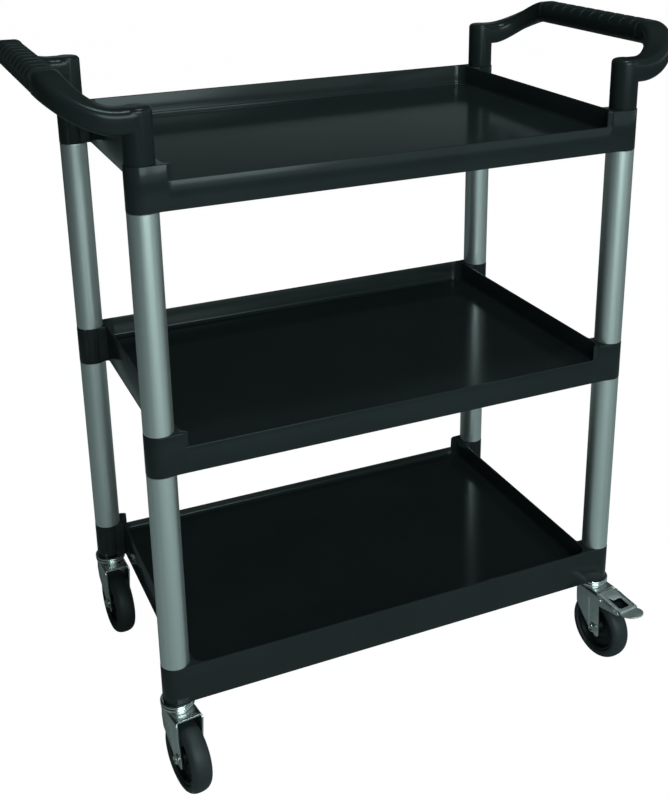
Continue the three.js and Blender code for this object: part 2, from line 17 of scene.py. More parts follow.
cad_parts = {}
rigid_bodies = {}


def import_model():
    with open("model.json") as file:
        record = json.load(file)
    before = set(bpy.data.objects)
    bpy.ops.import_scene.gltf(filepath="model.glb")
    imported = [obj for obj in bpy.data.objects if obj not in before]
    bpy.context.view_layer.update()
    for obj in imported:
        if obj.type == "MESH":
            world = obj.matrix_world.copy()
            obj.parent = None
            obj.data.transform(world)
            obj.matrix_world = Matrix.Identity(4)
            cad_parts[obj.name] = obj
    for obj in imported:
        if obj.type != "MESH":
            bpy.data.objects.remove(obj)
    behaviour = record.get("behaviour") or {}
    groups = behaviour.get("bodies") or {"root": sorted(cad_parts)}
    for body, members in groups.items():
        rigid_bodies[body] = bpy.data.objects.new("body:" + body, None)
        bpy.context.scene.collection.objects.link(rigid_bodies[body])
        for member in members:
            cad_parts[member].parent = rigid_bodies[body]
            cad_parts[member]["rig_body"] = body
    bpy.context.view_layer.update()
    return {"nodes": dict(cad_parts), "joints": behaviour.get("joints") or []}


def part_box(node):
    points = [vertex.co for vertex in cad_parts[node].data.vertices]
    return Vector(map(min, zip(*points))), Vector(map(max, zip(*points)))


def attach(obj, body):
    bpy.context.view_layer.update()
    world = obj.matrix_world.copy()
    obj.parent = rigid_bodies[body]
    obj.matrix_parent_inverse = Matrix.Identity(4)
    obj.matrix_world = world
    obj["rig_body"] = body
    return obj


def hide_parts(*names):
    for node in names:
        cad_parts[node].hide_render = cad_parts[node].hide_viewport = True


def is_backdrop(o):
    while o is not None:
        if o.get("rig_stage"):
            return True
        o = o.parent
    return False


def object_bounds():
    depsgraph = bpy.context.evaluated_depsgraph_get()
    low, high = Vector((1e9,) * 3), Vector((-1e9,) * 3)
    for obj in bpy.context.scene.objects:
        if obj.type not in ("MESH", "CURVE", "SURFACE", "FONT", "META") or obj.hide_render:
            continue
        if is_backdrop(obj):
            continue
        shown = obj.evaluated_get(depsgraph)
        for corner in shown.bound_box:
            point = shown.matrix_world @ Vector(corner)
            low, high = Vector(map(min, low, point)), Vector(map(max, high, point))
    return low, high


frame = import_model()
MM = 0.001

# %% [markdown]
# Places come from the frame's own boxes. A corner's post is the middle of its lower tube, and a
# tray's rim, underside and deck follow from the tray's box.

# %% Measure the frame
CORNERS = ["near_left", "near_right", "far_left", "far_right"]
TRAYS = ["bottom_tray", "middle_tray", "top_tray"]


def box_mm(node):
    low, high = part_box(node)
    return low / MM, high / MM


def body_of(node):
    return frame["nodes"][node]["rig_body"]


POST = {}
for corner in CORNERS:
    low, high = box_mm(f"lower_tube_{corner}")
    POST[corner] = Vector(((low.x + high.x) / 2, (low.y + high.y) / 2, 0))
RIM = {tray: box_mm(tray)[1].z for tray in TRAYS}
BASE = {tray: box_mm(tray)[0].z for tray in TRAYS}
MIDDLE_Y = (POST["near_left"].y + POST["far_left"].y) / 2
HALF_X = POST["near_right"].x
HALF_Y = POST["far_left"].y - MIDDLE_Y
CENTRE = Vector((0, MIDDLE_Y, 0))
DOWN = RIM["top_tray"] - BASE["top_tray"]
JOINTS = {joint["name"]: joint for joint in frame["joints"]}
print("posts at", HALF_X, HALF_Y, "about y", round(MIDDLE_Y, 2), "rims", RIM)

# %% [markdown]
# ## Helpers for meshes
# A piece starts as a bmesh in millimetres. `mesh_object` merges doubled points, turns the faces
# outwards and makes an object of it in metres, at the origin. `round_edges` runs a Bevel modifier
# and keeps its result as a plain mesh. `finish_piece` gives the piece its material and its body,
# and shades it smooth except across real corners.

# %% Turn a bmesh into a finished piece
SMOOTH_BELOW = math.radians(32)
WELD = 0.002            # how close two points are when they are one
FINE_WELD = 0.0005      # the same for pressed sheet, whose edge is rounded in small steps


def linked(name, data):
    """A new object for some data, in the scene."""
    made = bpy.data.objects.new(name, data)
    bpy.context.scene.collection.objects.link(made)
    return made


def mesh_object(name, bm, weld=WELD):
    bmesh.ops.remove_doubles(bm, verts=bm.verts, dist=weld)
    bmesh.ops.dissolve_degenerate(bm, edges=bm.edges, dist=1e-5)
    bmesh.ops.recalc_face_normals(bm, faces=bm.faces)
    bmesh.ops.scale(bm, vec=(MM, MM, MM), verts=bm.verts)
    mesh = bpy.data.meshes.new(name)
    bm.to_mesh(mesh)
    bm.free()
    return linked(name, mesh)


def apply_modifiers(made):
    graph = bpy.context.evaluated_depsgraph_get()
    graph.update()
    plain = bpy.data.meshes.new_from_object(made.evaluated_get(graph))
    made.modifiers.clear()
    old = made.data
    made.data = plain
    plain.name = made.name
    bpy.data.meshes.remove(old)


def round_edges(made, width, segments=2, angle=30):
    bevel = made.modifiers.new("rounded edges", "BEVEL")
    bevel.width = width * MM
    bevel.segments = segments
    bevel.limit_method = "ANGLE"
    bevel.angle_limit = math.radians(angle)
    bevel.use_clamp_overlap = True
    apply_modifiers(made)


def finish_piece(made, material, body, replaces=(), smooth=SMOOTH_BELOW):
    made.data.materials.clear()
    made.data.materials.append(material)
    made.data.shade_smooth()
    made.data.set_sharp_from_angle(angle=smooth)
    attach(made, body)
    if replaces:
        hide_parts(*replaces)
    print(f"{made.name}: {len(made.data.polygons)} faces on {body}")
    return made


# %% [markdown]
# Most pieces are one of three things: a profile turned about an axis, a row of rings joined
# into a skin, or a flat blank cut from sheet. These helpers add such a thing to a bmesh.

# %% Turned profiles, skins and flat blanks
def skin(bm, rings, loop=False):
    """Faces between rings of points. A loop joins the last ring to the first, or else the end
    rings are closed."""
    rows = [[bm.verts.new(point) for point in ring] for ring in rings]
    pairs = list(zip(rows, rows[1:]))
    if loop:
        pairs.append((rows[-1], rows[0]))
    for a, b in pairs:
        for i in range(len(a)):
            j = (i + 1) % len(a)
            bm.faces.new((a[i], a[j], b[j], b[i]))
    if not loop:
        bm.faces.new(rows[0][::-1])
        bm.faces.new(rows[-1])


def circle_points(radius, height, segments):
    return [Vector((radius * math.cos(a), radius * math.sin(a), height))
            for a in (2 * math.pi * i / segments for i in range(segments))]


def turned(bm, profile, segments=48, matrix=None):
    """Turns a profile of (radius, height) about Z and adds it to bm."""
    rings = [circle_points(radius, height, segments) for radius, height in profile]
    fresh = bmesh.new()
    skin(fresh, rings, loop=profile[0][0] > 0)
    bmesh.ops.remove_doubles(fresh, verts=fresh.verts, dist=1e-4)
    add_to(bm, fresh, matrix)


def add_to(bm, fresh, matrix=None):
    """Moves a small bmesh by matrix and adds it to bm."""
    if matrix is not None:
        bmesh.ops.transform(fresh, matrix=matrix, verts=fresh.verts)
    holder = bpy.data.meshes.new("holder")
    fresh.to_mesh(holder)
    fresh.free()
    bm.from_mesh(holder)
    bpy.data.meshes.remove(holder)


def arc(cx, cy, radius, start, end, steps):
    """Points on an arc, angles in degrees, both ends included."""
    turn = [math.radians(start + (end - start) * i / steps) for i in range(steps + 1)]
    return [(cx + radius * math.cos(a), cy + radius * math.sin(a)) for a in turn]


def blank(outline, holes=()):
    """A flat sheet in the XY plane, cut to an outline with holes, as a bmesh."""
    sheet = bmesh.new()
    edges = []
    for points in [outline, *holes]:
        verts = [sheet.verts.new((x, y, 0)) for x, y in points]
        edges += [sheet.edges.new((verts[i], verts[i - 1])) for i in range(len(verts))]
    bmesh.ops.triangle_fill(sheet, use_beauty=True, use_dissolve=False, edges=edges)
    for face in sheet.faces:
        if face.normal.z < 0:
            face.normal_flip()
    return sheet


def crease_lines(sheet, axis, places):
    """Cuts the sheet along straight lines, so that it can bend there."""
    normal = Vector((1, 0, 0)) if axis == "x" else Vector((0, 1, 0))
    for place in places:
        bmesh.ops.bisect_plane(
            sheet, geom=[*sheet.verts, *sheet.edges, *sheet.faces],
            plane_co=normal * place, plane_no=normal, dist=1e-4,
        )


# %% [markdown]
# ## Finishes
# The same few surface effects turn up on many parts: the fine grain of a mould, the marks that
# hands and cleaning leave, the lines of a drawn tube. Each is a shader node group with named
# inputs, built once. The groups give out heights and masks only, and each material decides what
# to do with them.

# %% Helpers for nodes and shader groups
def shader_group(name, inputs, outputs):
    tree = bpy.data.node_groups.new(name, "ShaderNodeTree")
    for label, kind, value in inputs:
        socket = tree.interface.new_socket(label, in_out="INPUT", socket_type=kind)
        if value is not None:
            socket.default_value = value
    for label, kind in outputs:
        tree.interface.new_socket(label, in_out="OUTPUT", socket_type=kind)
    return tree, tree.nodes.new("NodeGroupInput"), tree.nodes.new("NodeGroupOutput")


def feed(tree, socket, value):
    """Links a socket to an input, or sets the input to a plain value."""
    if isinstance(value, bpy.types.NodeSocket):
        tree.links.new(value, socket)
    else:
        socket.default_value = value


def node(tree, kind, **values):
    """A new node with some of its inputs fed, named with _ for a space."""
    made = tree.nodes.new(kind)
    for label, value in values.items():
        feed(tree, made.inputs[label.replace("_", " ")], value)
    return made


def node_math(tree, operation, a, b):
    made = tree.nodes.new("ShaderNodeMath")
    made.operation = operation
    feed(tree, made.inputs[0], a)
    feed(tree, made.inputs[1], b)
    return made.outputs[0]


def noise_in(tree, vector, scale, detail, roughness):
    return node(tree, "ShaderNodeTexNoise", Vector=vector, Scale=scale, Detail=detail,
                Roughness=roughness).outputs["Fac"]


# %% [markdown]
# Moulded plastic takes the surface of its steel mould, which is spark-eroded to a fine even
# grain. A small noise gives the grain's height, and a much larger one the faint cloudiness of
# thick and thin places in the moulding.

# %% Mould grain
grain, g_in, g_out = shader_group(
    "mould grain",
    [("Vector", "NodeSocketVector", None), ("Grain Scale", "NodeSocketFloat", 2400.0),
     ("Cloud Scale", "NodeSocketFloat", 9.0)],
    [("Height", "NodeSocketFloat"), ("Cloud", "NodeSocketFloat")],
)
fine = noise_in(grain, g_in.outputs["Vector"], g_in.outputs["Grain Scale"], 1.0, 0.4)
cloud = noise_in(grain, g_in.outputs["Vector"], g_in.outputs["Cloud Scale"], 3.0, 0.55)
grain.links.new(fine, g_out.inputs["Height"])
grain.links.new(cloud, g_out.inputs["Cloud"])
print("group:", grain.name)

# %% [markdown]
# Handling leaves broad dull patches and a few fine scuffs. The group multiplies a slow noise by
# a fine one, and puts out a roughness to add.

# %% Handling marks
marks, m_in, m_out = shader_group(
    "handling marks",
    [("Vector", "NodeSocketVector", None), ("Patch Scale", "NodeSocketFloat", 14.0),
     ("Scuff Scale", "NodeSocketFloat", 90.0), ("Amount", "NodeSocketFloat", 0.08)],
    [("Added Roughness", "NodeSocketFloat")],
)
patch = noise_in(marks, m_in.outputs["Vector"], m_in.outputs["Patch Scale"], 4.0, 0.6)
scuff = noise_in(marks, m_in.outputs["Vector"], m_in.outputs["Scuff Scale"], 6.0, 0.75)
worn = node_math(marks, "MULTIPLY", patch, scuff)
marks.links.new(node_math(marks, "MULTIPLY", worn, m_in.outputs["Amount"]),
                m_out.inputs["Added Roughness"])
print("group:", marks.name)

# %% [markdown]
# An aluminium tube is pushed through a die, which leaves fine lines along its length. Squeezing
# the noise along Z draws its spots out into such lines.

# %% Drawn lines
drawn, d_in, d_out = shader_group(
    "drawn lines",
    [("Vector", "NodeSocketVector", None), ("Line Scale", "NodeSocketFloat", 900.0),
     ("Streak Scale", "NodeSocketFloat", 220.0), ("Stretch", "NodeSocketFloat", 0.004)],
    [("Height", "NodeSocketFloat"), ("Streak", "NodeSocketFloat")],
)
split = node(drawn, "ShaderNodeSeparateXYZ", Vector=d_in.outputs["Vector"])
squeezed = node_math(drawn, "MULTIPLY", split.outputs["Z"], d_in.outputs["Stretch"])
merge = node(drawn, "ShaderNodeCombineXYZ", X=split.outputs["X"], Y=split.outputs["Y"],
             Z=squeezed)
line = noise_in(drawn, merge.outputs[0], d_in.outputs["Line Scale"], 3.0, 0.6)
streak = noise_in(drawn, merge.outputs[0], d_in.outputs["Streak Scale"], 2.0, 0.5)
drawn.links.new(line, d_out.inputs["Height"])
drawn.links.new(streak, d_out.inputs["Streak"])
print("group:", drawn.name)

# %% [markdown]
# Zinc plate is bright but never even: the bath leaves slow bands of tone, and the rolled steel
# under it shows as a fine ripple.

# %% Plated steel
plated, p_in, p_out = shader_group(
    "plated steel",
    [("Vector", "NodeSocketVector", None), ("Band Scale", "NodeSocketFloat", 45.0),
     ("Ripple Scale", "NodeSocketFloat", 320.0)],
    [("Height", "NodeSocketFloat"), ("Band", "NodeSocketFloat")],
)
plated.links.new(noise_in(plated, p_in.outputs["Vector"], p_in.outputs["Ripple Scale"], 3.0, 0.6),
                 p_out.inputs["Height"])
plated.links.new(noise_in(plated, p_in.outputs["Vector"], p_in.outputs["Band Scale"], 2.0, 0.5),
                 p_out.inputs["Band"])
print("group:", plated.name)


# %% [markdown]
# Each material is a Principled shader with its groups around it. Constants sit on the shader's
# own sockets. Only what varies over the surface comes through links.

# %% A helper for materials
class Finish:
    """A material with its shader, and short ways to add groups and link them."""

    def __init__(self, name, **constants):
        self.material = bpy.data.materials.new(name)
        self.material.use_nodes = True
        self.tree = self.material.node_tree
        self.shader = self.tree.nodes["Principled BSDF"]
        self.place = self.tree.nodes.new("ShaderNodeTexCoord").outputs["Object"]
        for label, value in constants.items():
            self.shader.inputs[label.replace("_", " ")].default_value = value

    def group(self, tree, **values):
        made = self.tree.nodes.new("ShaderNodeGroup")
        made.node_tree = tree
        for label, value in {"Vector": self.place, **values}.items():
            feed(self.tree, made.inputs[label.replace("_", " ")], value)
        return made

    def range(self, value, low, high, start=0.3, end=0.7):
        return node(self.tree, "ShaderNodeMapRange", Value=value, From_Min=start, From_Max=end,
                    To_Min=low, To_Max=high).outputs[0]

    def blend(self, value, colour_a, colour_b, start=0.3, end=0.7):
        made = node(self.tree, "ShaderNodeValToRGB", Fac=value)
        for stop, place, colour in zip(made.color_ramp.elements, (start, end),
                                       (colour_a, colour_b)):
            stop.position, stop.color = place, (*colour, 1)
        return made.outputs["Color"]

    def add(self, a, b):
        return node_math(self.tree, "ADD", a, b)

    def colour(self, value):
        self.tree.links.new(value, self.shader.inputs["Base Color"])

    def rough(self, value):
        self.tree.links.new(value, self.shader.inputs["Roughness"])

    def bump(self, height, strength, distance):
        made = node(self.tree, "ShaderNodeBump", Height=height, Strength=strength,
                    Distance=distance)
        self.tree.links.new(made.outputs["Normal"], self.shader.inputs["Normal"])


# %% [markdown]
# The trays and handles are polypropylene, coloured through with carbon black. It is nearly black
# with a cool tint, satin, and its decks are smooth enough to mirror softly.

# %% Moulded black plastic
def moulded_black(name, low, high, roughness, grain_depth):
    finish = Finish(name, Metallic=0.0, IOR=1.49, Specular_IOR_Level=0.22)
    texture = finish.group(grain, Grain_Scale=1900.0, Cloud_Scale=7.0)
    wear = finish.group(marks, Patch_Scale=11.0, Scuff_Scale=70.0, Amount=0.09)
    finish.colour(finish.blend(texture.outputs["Cloud"], low, high, 0.35, 0.65))
    finish.rough(finish.add(wear.outputs["Added Roughness"], roughness))
    finish.bump(texture.outputs["Height"], 0.35, grain_depth)
    return finish.material


tray_black = moulded_black("tray black plastic", (0.0180, 0.0220, 0.0225),
                           (0.0215, 0.0260, 0.0265), 0.12, 0.00003)
handle_black = moulded_black("handle black plastic", (0.0150, 0.0185, 0.0190),
                             (0.0180, 0.0220, 0.0225), 0.20, 0.00004)
grip_black = moulded_black("soft grip rubber", (0.0130, 0.0170, 0.0175),
                           (0.0165, 0.0210, 0.0215), 0.42, 0.00010)
hub_black = moulded_black("wheel centre plastic", (0.0060, 0.0080, 0.0085),
                          (0.0085, 0.0110, 0.0115), 0.38, 0.00008)
nylon_black = moulded_black("joiner nylon", (0.0160, 0.0180, 0.0185),
                            (0.0210, 0.0230, 0.0235), 0.45, 0.00008)
print("plastics ready")

# %% [markdown]
# The tubes are anodised aluminium with a satin bloom: a metal with a fairly high roughness, and
# the die's lines as the faintest bump and streak.

# %% Satin aluminium
satin = Finish("satin aluminium", Metallic=1.0)
lines = satin.group(drawn)
satin.colour(satin.blend(lines.outputs["Streak"], (0.80, 0.83, 0.82), (0.86, 0.89, 0.88)))
satin.rough(satin.range(lines.outputs["Streak"], 0.38, 0.44))
satin.bump(lines.outputs["Height"], 0.10, 0.00004)
tube_satin = satin.material
print("tube finish ready")

# %% [markdown]
# The casters' pressings are zinc plated and passivated clear, brighter than the tubes; the pedals'
# lighter copy of the zinc is painted light, for the light on their tops. Their hidden turned parts
# are plain oiled steel.

# %% Zinc plate and oiled steel
PLATE_SPREAD = 0.08     # how much duller the dull bands of a plated piece are


def plate(name, dark, light, roughness):
    finish = Finish(name, Metallic=1.0)
    surface = finish.group(plated)
    finish.colour(finish.blend(surface.outputs["Band"], dark, light))
    finish.rough(finish.range(surface.outputs["Band"], roughness, roughness + PLATE_SPREAD))
    finish.bump(surface.outputs["Height"], 0.12, 0.00008)
    return finish.material


zinc_plate = plate("bright zinc plate", (0.62, 0.65, 0.64), (0.72, 0.74, 0.73), 0.24)
# The pedals' copy of the zinc is rougher, and its lighter colour is painted light.
pedal_zinc_painted_light = plate("satin zinc pedals", (0.78, 0.80, 0.79), (0.86, 0.88, 0.87), 0.45)
ring_plate = plate("polished zinc rings", (0.72, 0.74, 0.74), (0.80, 0.82, 0.82), 0.13)
oiled_steel = plate("oiled steel", (0.16, 0.18, 0.18), (0.24, 0.26, 0.26), 0.30)
# The leaf's near-black steel colour is painted shade, for the dark seen in the pedal's window.
leaf_steel_painted_shade = plate("blued spring steel", (0.030, 0.035, 0.037), (0.050, 0.056, 0.058), 0.38)
print("metals ready")

# %% [markdown]
# A cart's tyre is thermoplastic rubber: dark grey, matt, faintly dusty where it has rolled.

# %% Tyre rubber
tyre_finish = Finish("tyre rubber", Metallic=0.0, IOR=1.5)
texture = tyre_finish.group(grain, Grain_Scale=1200.0, Cloud_Scale=30.0)
wear = tyre_finish.group(marks, Patch_Scale=40.0, Scuff_Scale=260.0, Amount=0.25)
tyre_finish.colour(tyre_finish.blend(texture.outputs["Cloud"], (0.0185, 0.0235, 0.0245),
                                     (0.0245, 0.0300, 0.0310)))
tyre_finish.rough(tyre_finish.add(wear.outputs["Added Roughness"], 0.48))
tyre_finish.bump(texture.outputs["Height"], 0.4, 0.00012)
tyre_rubber = tyre_finish.material
print("tyre ready")


# %% [markdown]
# ## Trays
# Each tray is one moulding: a flat deck in a shallow well, thin walls with a rounded rim, and a
# collar at each corner that takes a tube. One long wall is cut low so that things slide off.
#
# The tray is made as a skin. Every point round its edge has a partner on the outer outline and
# one on the well's outline, and a section, from the underside out over the rim and down to the
# deck, carries one to the other. The low lip is only a different rim height at some points.

# %% The tray's outlines
TUBE_R, TUBE_WALL = 19.0, 1.5
BORE_R = TUBE_R - TUBE_WALL
COLLAR_R = 19.3                 # a collar stands 0.3 mm proud of its tube
END_WALL = HALF_X - 21.0        # the end wall's outer face
LONG_WALL = HALF_Y + 17.5       # the long wall's outer face
WEB = LONG_WALL - 33.0          # where the collar's block starts along the end
WEB_ROUND = 3.0
WALL, WELL_R = 3.0, 16.0        # a wall's thickness and the well's corner
DECK, SHEET = 31.0, 3.2         # rim to deck, and the deck's thickness
DECK_FILLET, FILLET_STEPS = 6.0, 7
LIP_DROP = 19.5                 # how much lower the low lip is


def corner_samples():
    """One corner, from the end wall to the long wall: (outer x, outer y, well angle, past lip)."""
    outer = arc(END_WALL + WEB_ROUND, WEB - WEB_ROUND, WEB_ROUND, 180, 90, 4)
    across = math.sqrt(COLLAR_R**2 - (HALF_Y - WEB) ** 2)
    reach = math.degrees(math.atan2(WEB - HALF_Y, across))
    outer += arc(HALF_X, HALF_Y, COLLAR_R, reach, 98, 26)
    outer += [(HALF_X - 9, LONG_WALL + 1.0), (HALF_X - 18, LONG_WALL + 0.2)]
    last = len(outer) - 1
    made = [(x, y, 62.0 * i / last, 0.0) for i, (x, y) in enumerate(outer)]
    lip = ((26.2, 62.6, 0.0), (26.6, 63.4, 0.07), (27.1, 65.0, 0.93), (27.5, 65.8, 1.0),
           (32, 74, 1.0), (36, 82, 1.0), (40, 90, 1.0))
    return made + [(HALF_X - back, LONG_WALL, angle, past) for back, angle, past in lip]


def tray_samples(low_side):
    """All round the tray, anticlockwise: outer point, well corner, well angle, rim height."""
    one = corner_samples()
    rows = []
    for sx, sy in ((1, 1), (-1, 1), (-1, -1), (1, -1)):
        listed = one if sx * sy > 0 else one[::-1]
        for x, y, angle, past in listed:
            height = -LIP_DROP * past if sy == low_side else 0.0
            turn = math.radians(angle)
            way = Vector((sx * math.cos(turn), sy * math.sin(turn)))
            seat = Vector((sx * (END_WALL - WALL - WELL_R), sy * (LONG_WALL - WALL - WELL_R)))
            rows.append((Vector((sx * x, sy * y)), seat, way, height))
    return rows


# %% [markdown]
# The section's stations say how far to grow the well's outline or shrink the outer one, and how
# high each point is. Rims get a one-millimetre round, and the deck a six-millimetre fillet.

# %% Skin a tray
def tray_mesh(low_side):
    rows = tray_samples(low_side)
    count = len(rows)
    inward = []
    for i in range(count):
        along = rows[(i + 1) % count][0] - rows[i - 1][0]
        inward.append(Vector((-along.y, along.x)).normalized())

    def well(grow, height, rim=0.0):
        return [Vector((*(seat + way * (WELL_R + grow)), height + rim * h))
                for _, seat, way, h in rows]

    def outer(shrink, height, rim=0.0):
        return [Vector((*(point + inward[i] * shrink), height + rim * h))
                for i, (point, _, _, h) in enumerate(rows)]

    under = -DECK - SHEET
    rings = [well(-4, under), well(-2, under), well(-0.6, under - 0.5), well(0, under - 2),
             well(0, -DOWN + 0.6), well(0.5, -DOWN), outer(0.8, -DOWN), outer(0.2, -DOWN + 0.2),
             outer(0, -DOWN + 0.8), outer(0, -1.0, 1), outer(0.3, -0.3, 1), outer(1.0, 0, 1),
             well(1.0, 0, 1), well(0.3, -0.3, 1), well(0, -1.0, 1),
             well(0, -DECK + DECK_FILLET)]
    for step in range(1, FILLET_STEPS + 1):
        turn = math.radians(90 * step / FILLET_STEPS)
        rings.append(well(-DECK_FILLET * (1 - math.cos(turn)),
                          -DECK + DECK_FILLET * (1 - math.sin(turn))))
    rings.append(well(-DECK_FILLET - 2, -DECK))
    bm = bmesh.new()
    skin(bm, rings)
    return bm


def boolean(made, operation, bm):
    """Joins a bmesh to a piece, or cuts it out of the piece."""
    tool = mesh_object("tool", bm)
    step = made.modifiers.new("boolean", "BOOLEAN")
    step.operation, step.solver, step.object = operation, "EXACT", tool
    apply_modifiers(made)
    bpy.data.objects.remove(tool)


def tray_place(tray, height):
    """The place in metres of a point that many millimetres above a tray's rim."""
    return Matrix.Translation((CENTRE + Vector((0, 0, RIM[tray] + height))) * MM)


def cut_bores(made):
    """Takes the four tube bores out of the collars."""
    bm = bmesh.new()
    low, high = -DOWN - 5, 5
    for sx in (-1, 1):
        for sy in (-1, 1):
            turned(bm, [(0, low), (BORE_R, low), (BORE_R, high), (0, high)], 48,
                   Matrix.Translation((sx * HALF_X, sy * HALF_Y, 0)))
    boolean(made, "DIFFERENCE", bm)


for tray in TRAYS:
    low_side = 1 if tray == "bottom_tray" else -1
    made = mesh_object(tray + "_moulding", tray_mesh(low_side))
    cut_bores(made)
    made.data.transform(tray_place(tray, 0))
    finish_piece(made, tray_black, "cart", [tray])

# %% [markdown]
# Under each deck a grid of thin ribs keeps it flat. A rib repeats by rule, so Geometry Nodes
# makes the grid: a line of boxes each way, with the counts, thickness and depth as inputs.

# %% A node tree for deck ribs
def socket_id(tree, label):
    return next(s.identifier for s in tree.interface.items_tree
                if s.item_type == "SOCKET" and s.in_out == "INPUT" and s.name == label)


def geometry_tree(name, inputs):
    tree = bpy.data.node_groups.new(name, "GeometryNodeTree")
    for label, kind, value in inputs:
        socket = tree.interface.new_socket(label, in_out="INPUT", socket_type=kind)
        if value is not None:
            socket.default_value = value
    tree.interface.new_socket("Geometry", in_out="OUTPUT", socket_type="NodeSocketGeometry")
    return tree, tree.nodes.new("NodeGroupInput"), tree.nodes.new("NodeGroupOutput")


def node_xyz(tree, x=0.0, y=0.0, z=0.0):
    return node(tree, "ShaderNodeCombineXYZ", X=x, Y=y, Z=z).outputs[0]


def end_tree(tree, geometry, group_in, group_out):
    """Realizes a tree's instances, gives them its finish and puts them out."""
    real = node(tree, "GeometryNodeRealizeInstances", Geometry=geometry)
    coat = node(tree, "GeometryNodeSetMaterial", Geometry=real.outputs[0],
                Material=group_in.outputs["Finish"])
    tree.links.new(coat.outputs[0], group_out.inputs[0])
    print("tree:", tree.name, len(tree.nodes), "nodes")


rib_tree, r_in, r_out = geometry_tree("deck ribs", [
    ("Length", "NodeSocketFloat", 0.612), ("Width", "NodeSocketFloat", 0.407),
    ("Long Ribs", "NodeSocketInt", 2), ("Cross Ribs", "NodeSocketInt", 3),
    ("Thickness", "NodeSocketFloat", 0.0024), ("Depth", "NodeSocketFloat", 0.017),
    ("Finish", "NodeSocketMaterial", None),
])
rib_rows = rib_tree.nodes.new("GeometryNodeJoinGeometry")
for count, span, along in (("Long Ribs", "Width", "Length"), ("Cross Ribs", "Length", "Width")):
    gaps = node_math(rib_tree, "ADD", r_in.outputs[count], 1.0)
    pitch = node_math(rib_tree, "DIVIDE", r_in.outputs[span], gaps)
    start = node_math(rib_tree, "SUBTRACT", pitch,
                      node_math(rib_tree, "DIVIDE", r_in.outputs[span], 2.0))
    if count == "Long Ribs":
        first, step = node_xyz(rib_tree, y=start), node_xyz(rib_tree, y=pitch)
        size = node_xyz(rib_tree, r_in.outputs[along], r_in.outputs["Thickness"],
                        r_in.outputs["Depth"])
    else:
        first, step = node_xyz(rib_tree, x=start), node_xyz(rib_tree, x=pitch)
        size = node_xyz(rib_tree, r_in.outputs["Thickness"], r_in.outputs[along],
                        r_in.outputs["Depth"])
    row = node(rib_tree, "GeometryNodeMeshLine", Count=r_in.outputs[count],
               Start_Location=first, Offset=step)
    bar = node(rib_tree, "GeometryNodeMeshCube", Size=size)
    ribs = node(rib_tree, "GeometryNodeInstanceOnPoints", Points=row.outputs[0],
                Instance=bar.outputs[0])
    rib_tree.links.new(ribs.outputs[0], rib_rows.inputs[0])
end_tree(rib_tree, rib_rows.outputs[0], r_in, r_out)


# %% [markdown]
# A tree's result is turned into a plain mesh, and its modifier is removed, before the piece is
# given to a body.

# %% Run a node tree into a piece
def grown(name, tree, **inputs):
    made = linked(name, bpy.data.meshes.new(name))
    modifier = made.modifiers.new("grown", "NODES")
    modifier.node_group = tree
    for label, value in inputs.items():
        modifier[socket_id(tree, label.replace("_", " "))] = value
    apply_modifiers(made)
    return made


RIB_SHORT = 3.0         # how far the ribs stop above the walls' lower edge
RIB_SINK = 0.5          # how far they run into the deck and the walls
RIB_DEPTH = DOWN - DECK - SHEET - RIB_SHORT
for tray in TRAYS:
    made = grown(tray + "_ribs", rib_tree, Length=2 * (END_WALL - WALL + RIB_SINK) * MM,
                 Width=2 * (LONG_WALL - WALL + RIB_SINK) * MM, Depth=RIB_DEPTH * MM,
                 Finish=tray_black)
    round_edges(made, 0.3, 1)
    made.data.transform(tray_place(tray, RIB_SINK - DECK - SHEET - RIB_DEPTH / 2))
    finish_piece(made, tray_black, "cart")

# %% [markdown]
# ## Tubes
# Eight lengths of 38 mm tube. Each is a turned profile with its sawn ends eased, and hollow, so
# that an end seen through a gap looks right.

# %% Tubes
EASED = 0.5             # how far a sawn end's edge is broken
for corner in CORNERS:
    for level in ("lower", "upper"):
        low, high = box_mm(f"{level}_tube_{corner}")
        bm = bmesh.new()
        turned(bm, [(BORE_R, low.z), (TUBE_R - EASED, low.z), (TUBE_R, low.z + EASED),
                    (TUBE_R, high.z - EASED), (TUBE_R - EASED, high.z), (BORE_R, high.z)], 96,
               Matrix.Translation(POST[corner]))
        made = mesh_object(f"{level}_post_{corner}", bm)
        finish_piece(made, tube_satin, "cart", [f"{level}_tube_{corner}"])

# %% [markdown]
# ## Handles
# A handle is one moulding: two legs plug into the posts, and a flattened arm leaves each leg,
# turns a quarter circle while it rises, and becomes the cross bar inside the grip. The arm is a
# rounded section swept along that path. The legs are turned, and joined to it by a Boolean.

# %% The arm's section and path
ARM_Z, GRIP_Z = 50.5, 87.0              # the arm's and the grip's middles above the rim
GRIP_X, BEND_R = HALF_X + 84.0, 64.0
ARM_DEPTH, ARM_ROUND = 31.0, 10.0
BAR_WIDTH, BAR_DEPTH = 31.0, 25.0
LEG_R = COLLAR_R - 1.0
LEG_ROUND = 5.5
SPIGOT_R, SPIGOT_REACH = BORE_R - 0.3, 28.0
SLEEVE_HALF = HALF_Y - BEND_R - 1.5
BENDS = 28


def rounded_section(width, depth, radius, steps=8):
    points = []
    for quarter, (sx, sy) in enumerate(((1, 1), (-1, 1), (-1, -1), (1, -1))):
        points += arc(sx * (width / 2 - radius), sy * (depth / 2 - radius), radius,
                      90 * quarter, 90 * quarter + 90, steps)
    return points


def ease(t):
    t = min(max(t, 0.0), 1.0)
    return t * t * (3 - 2 * t)


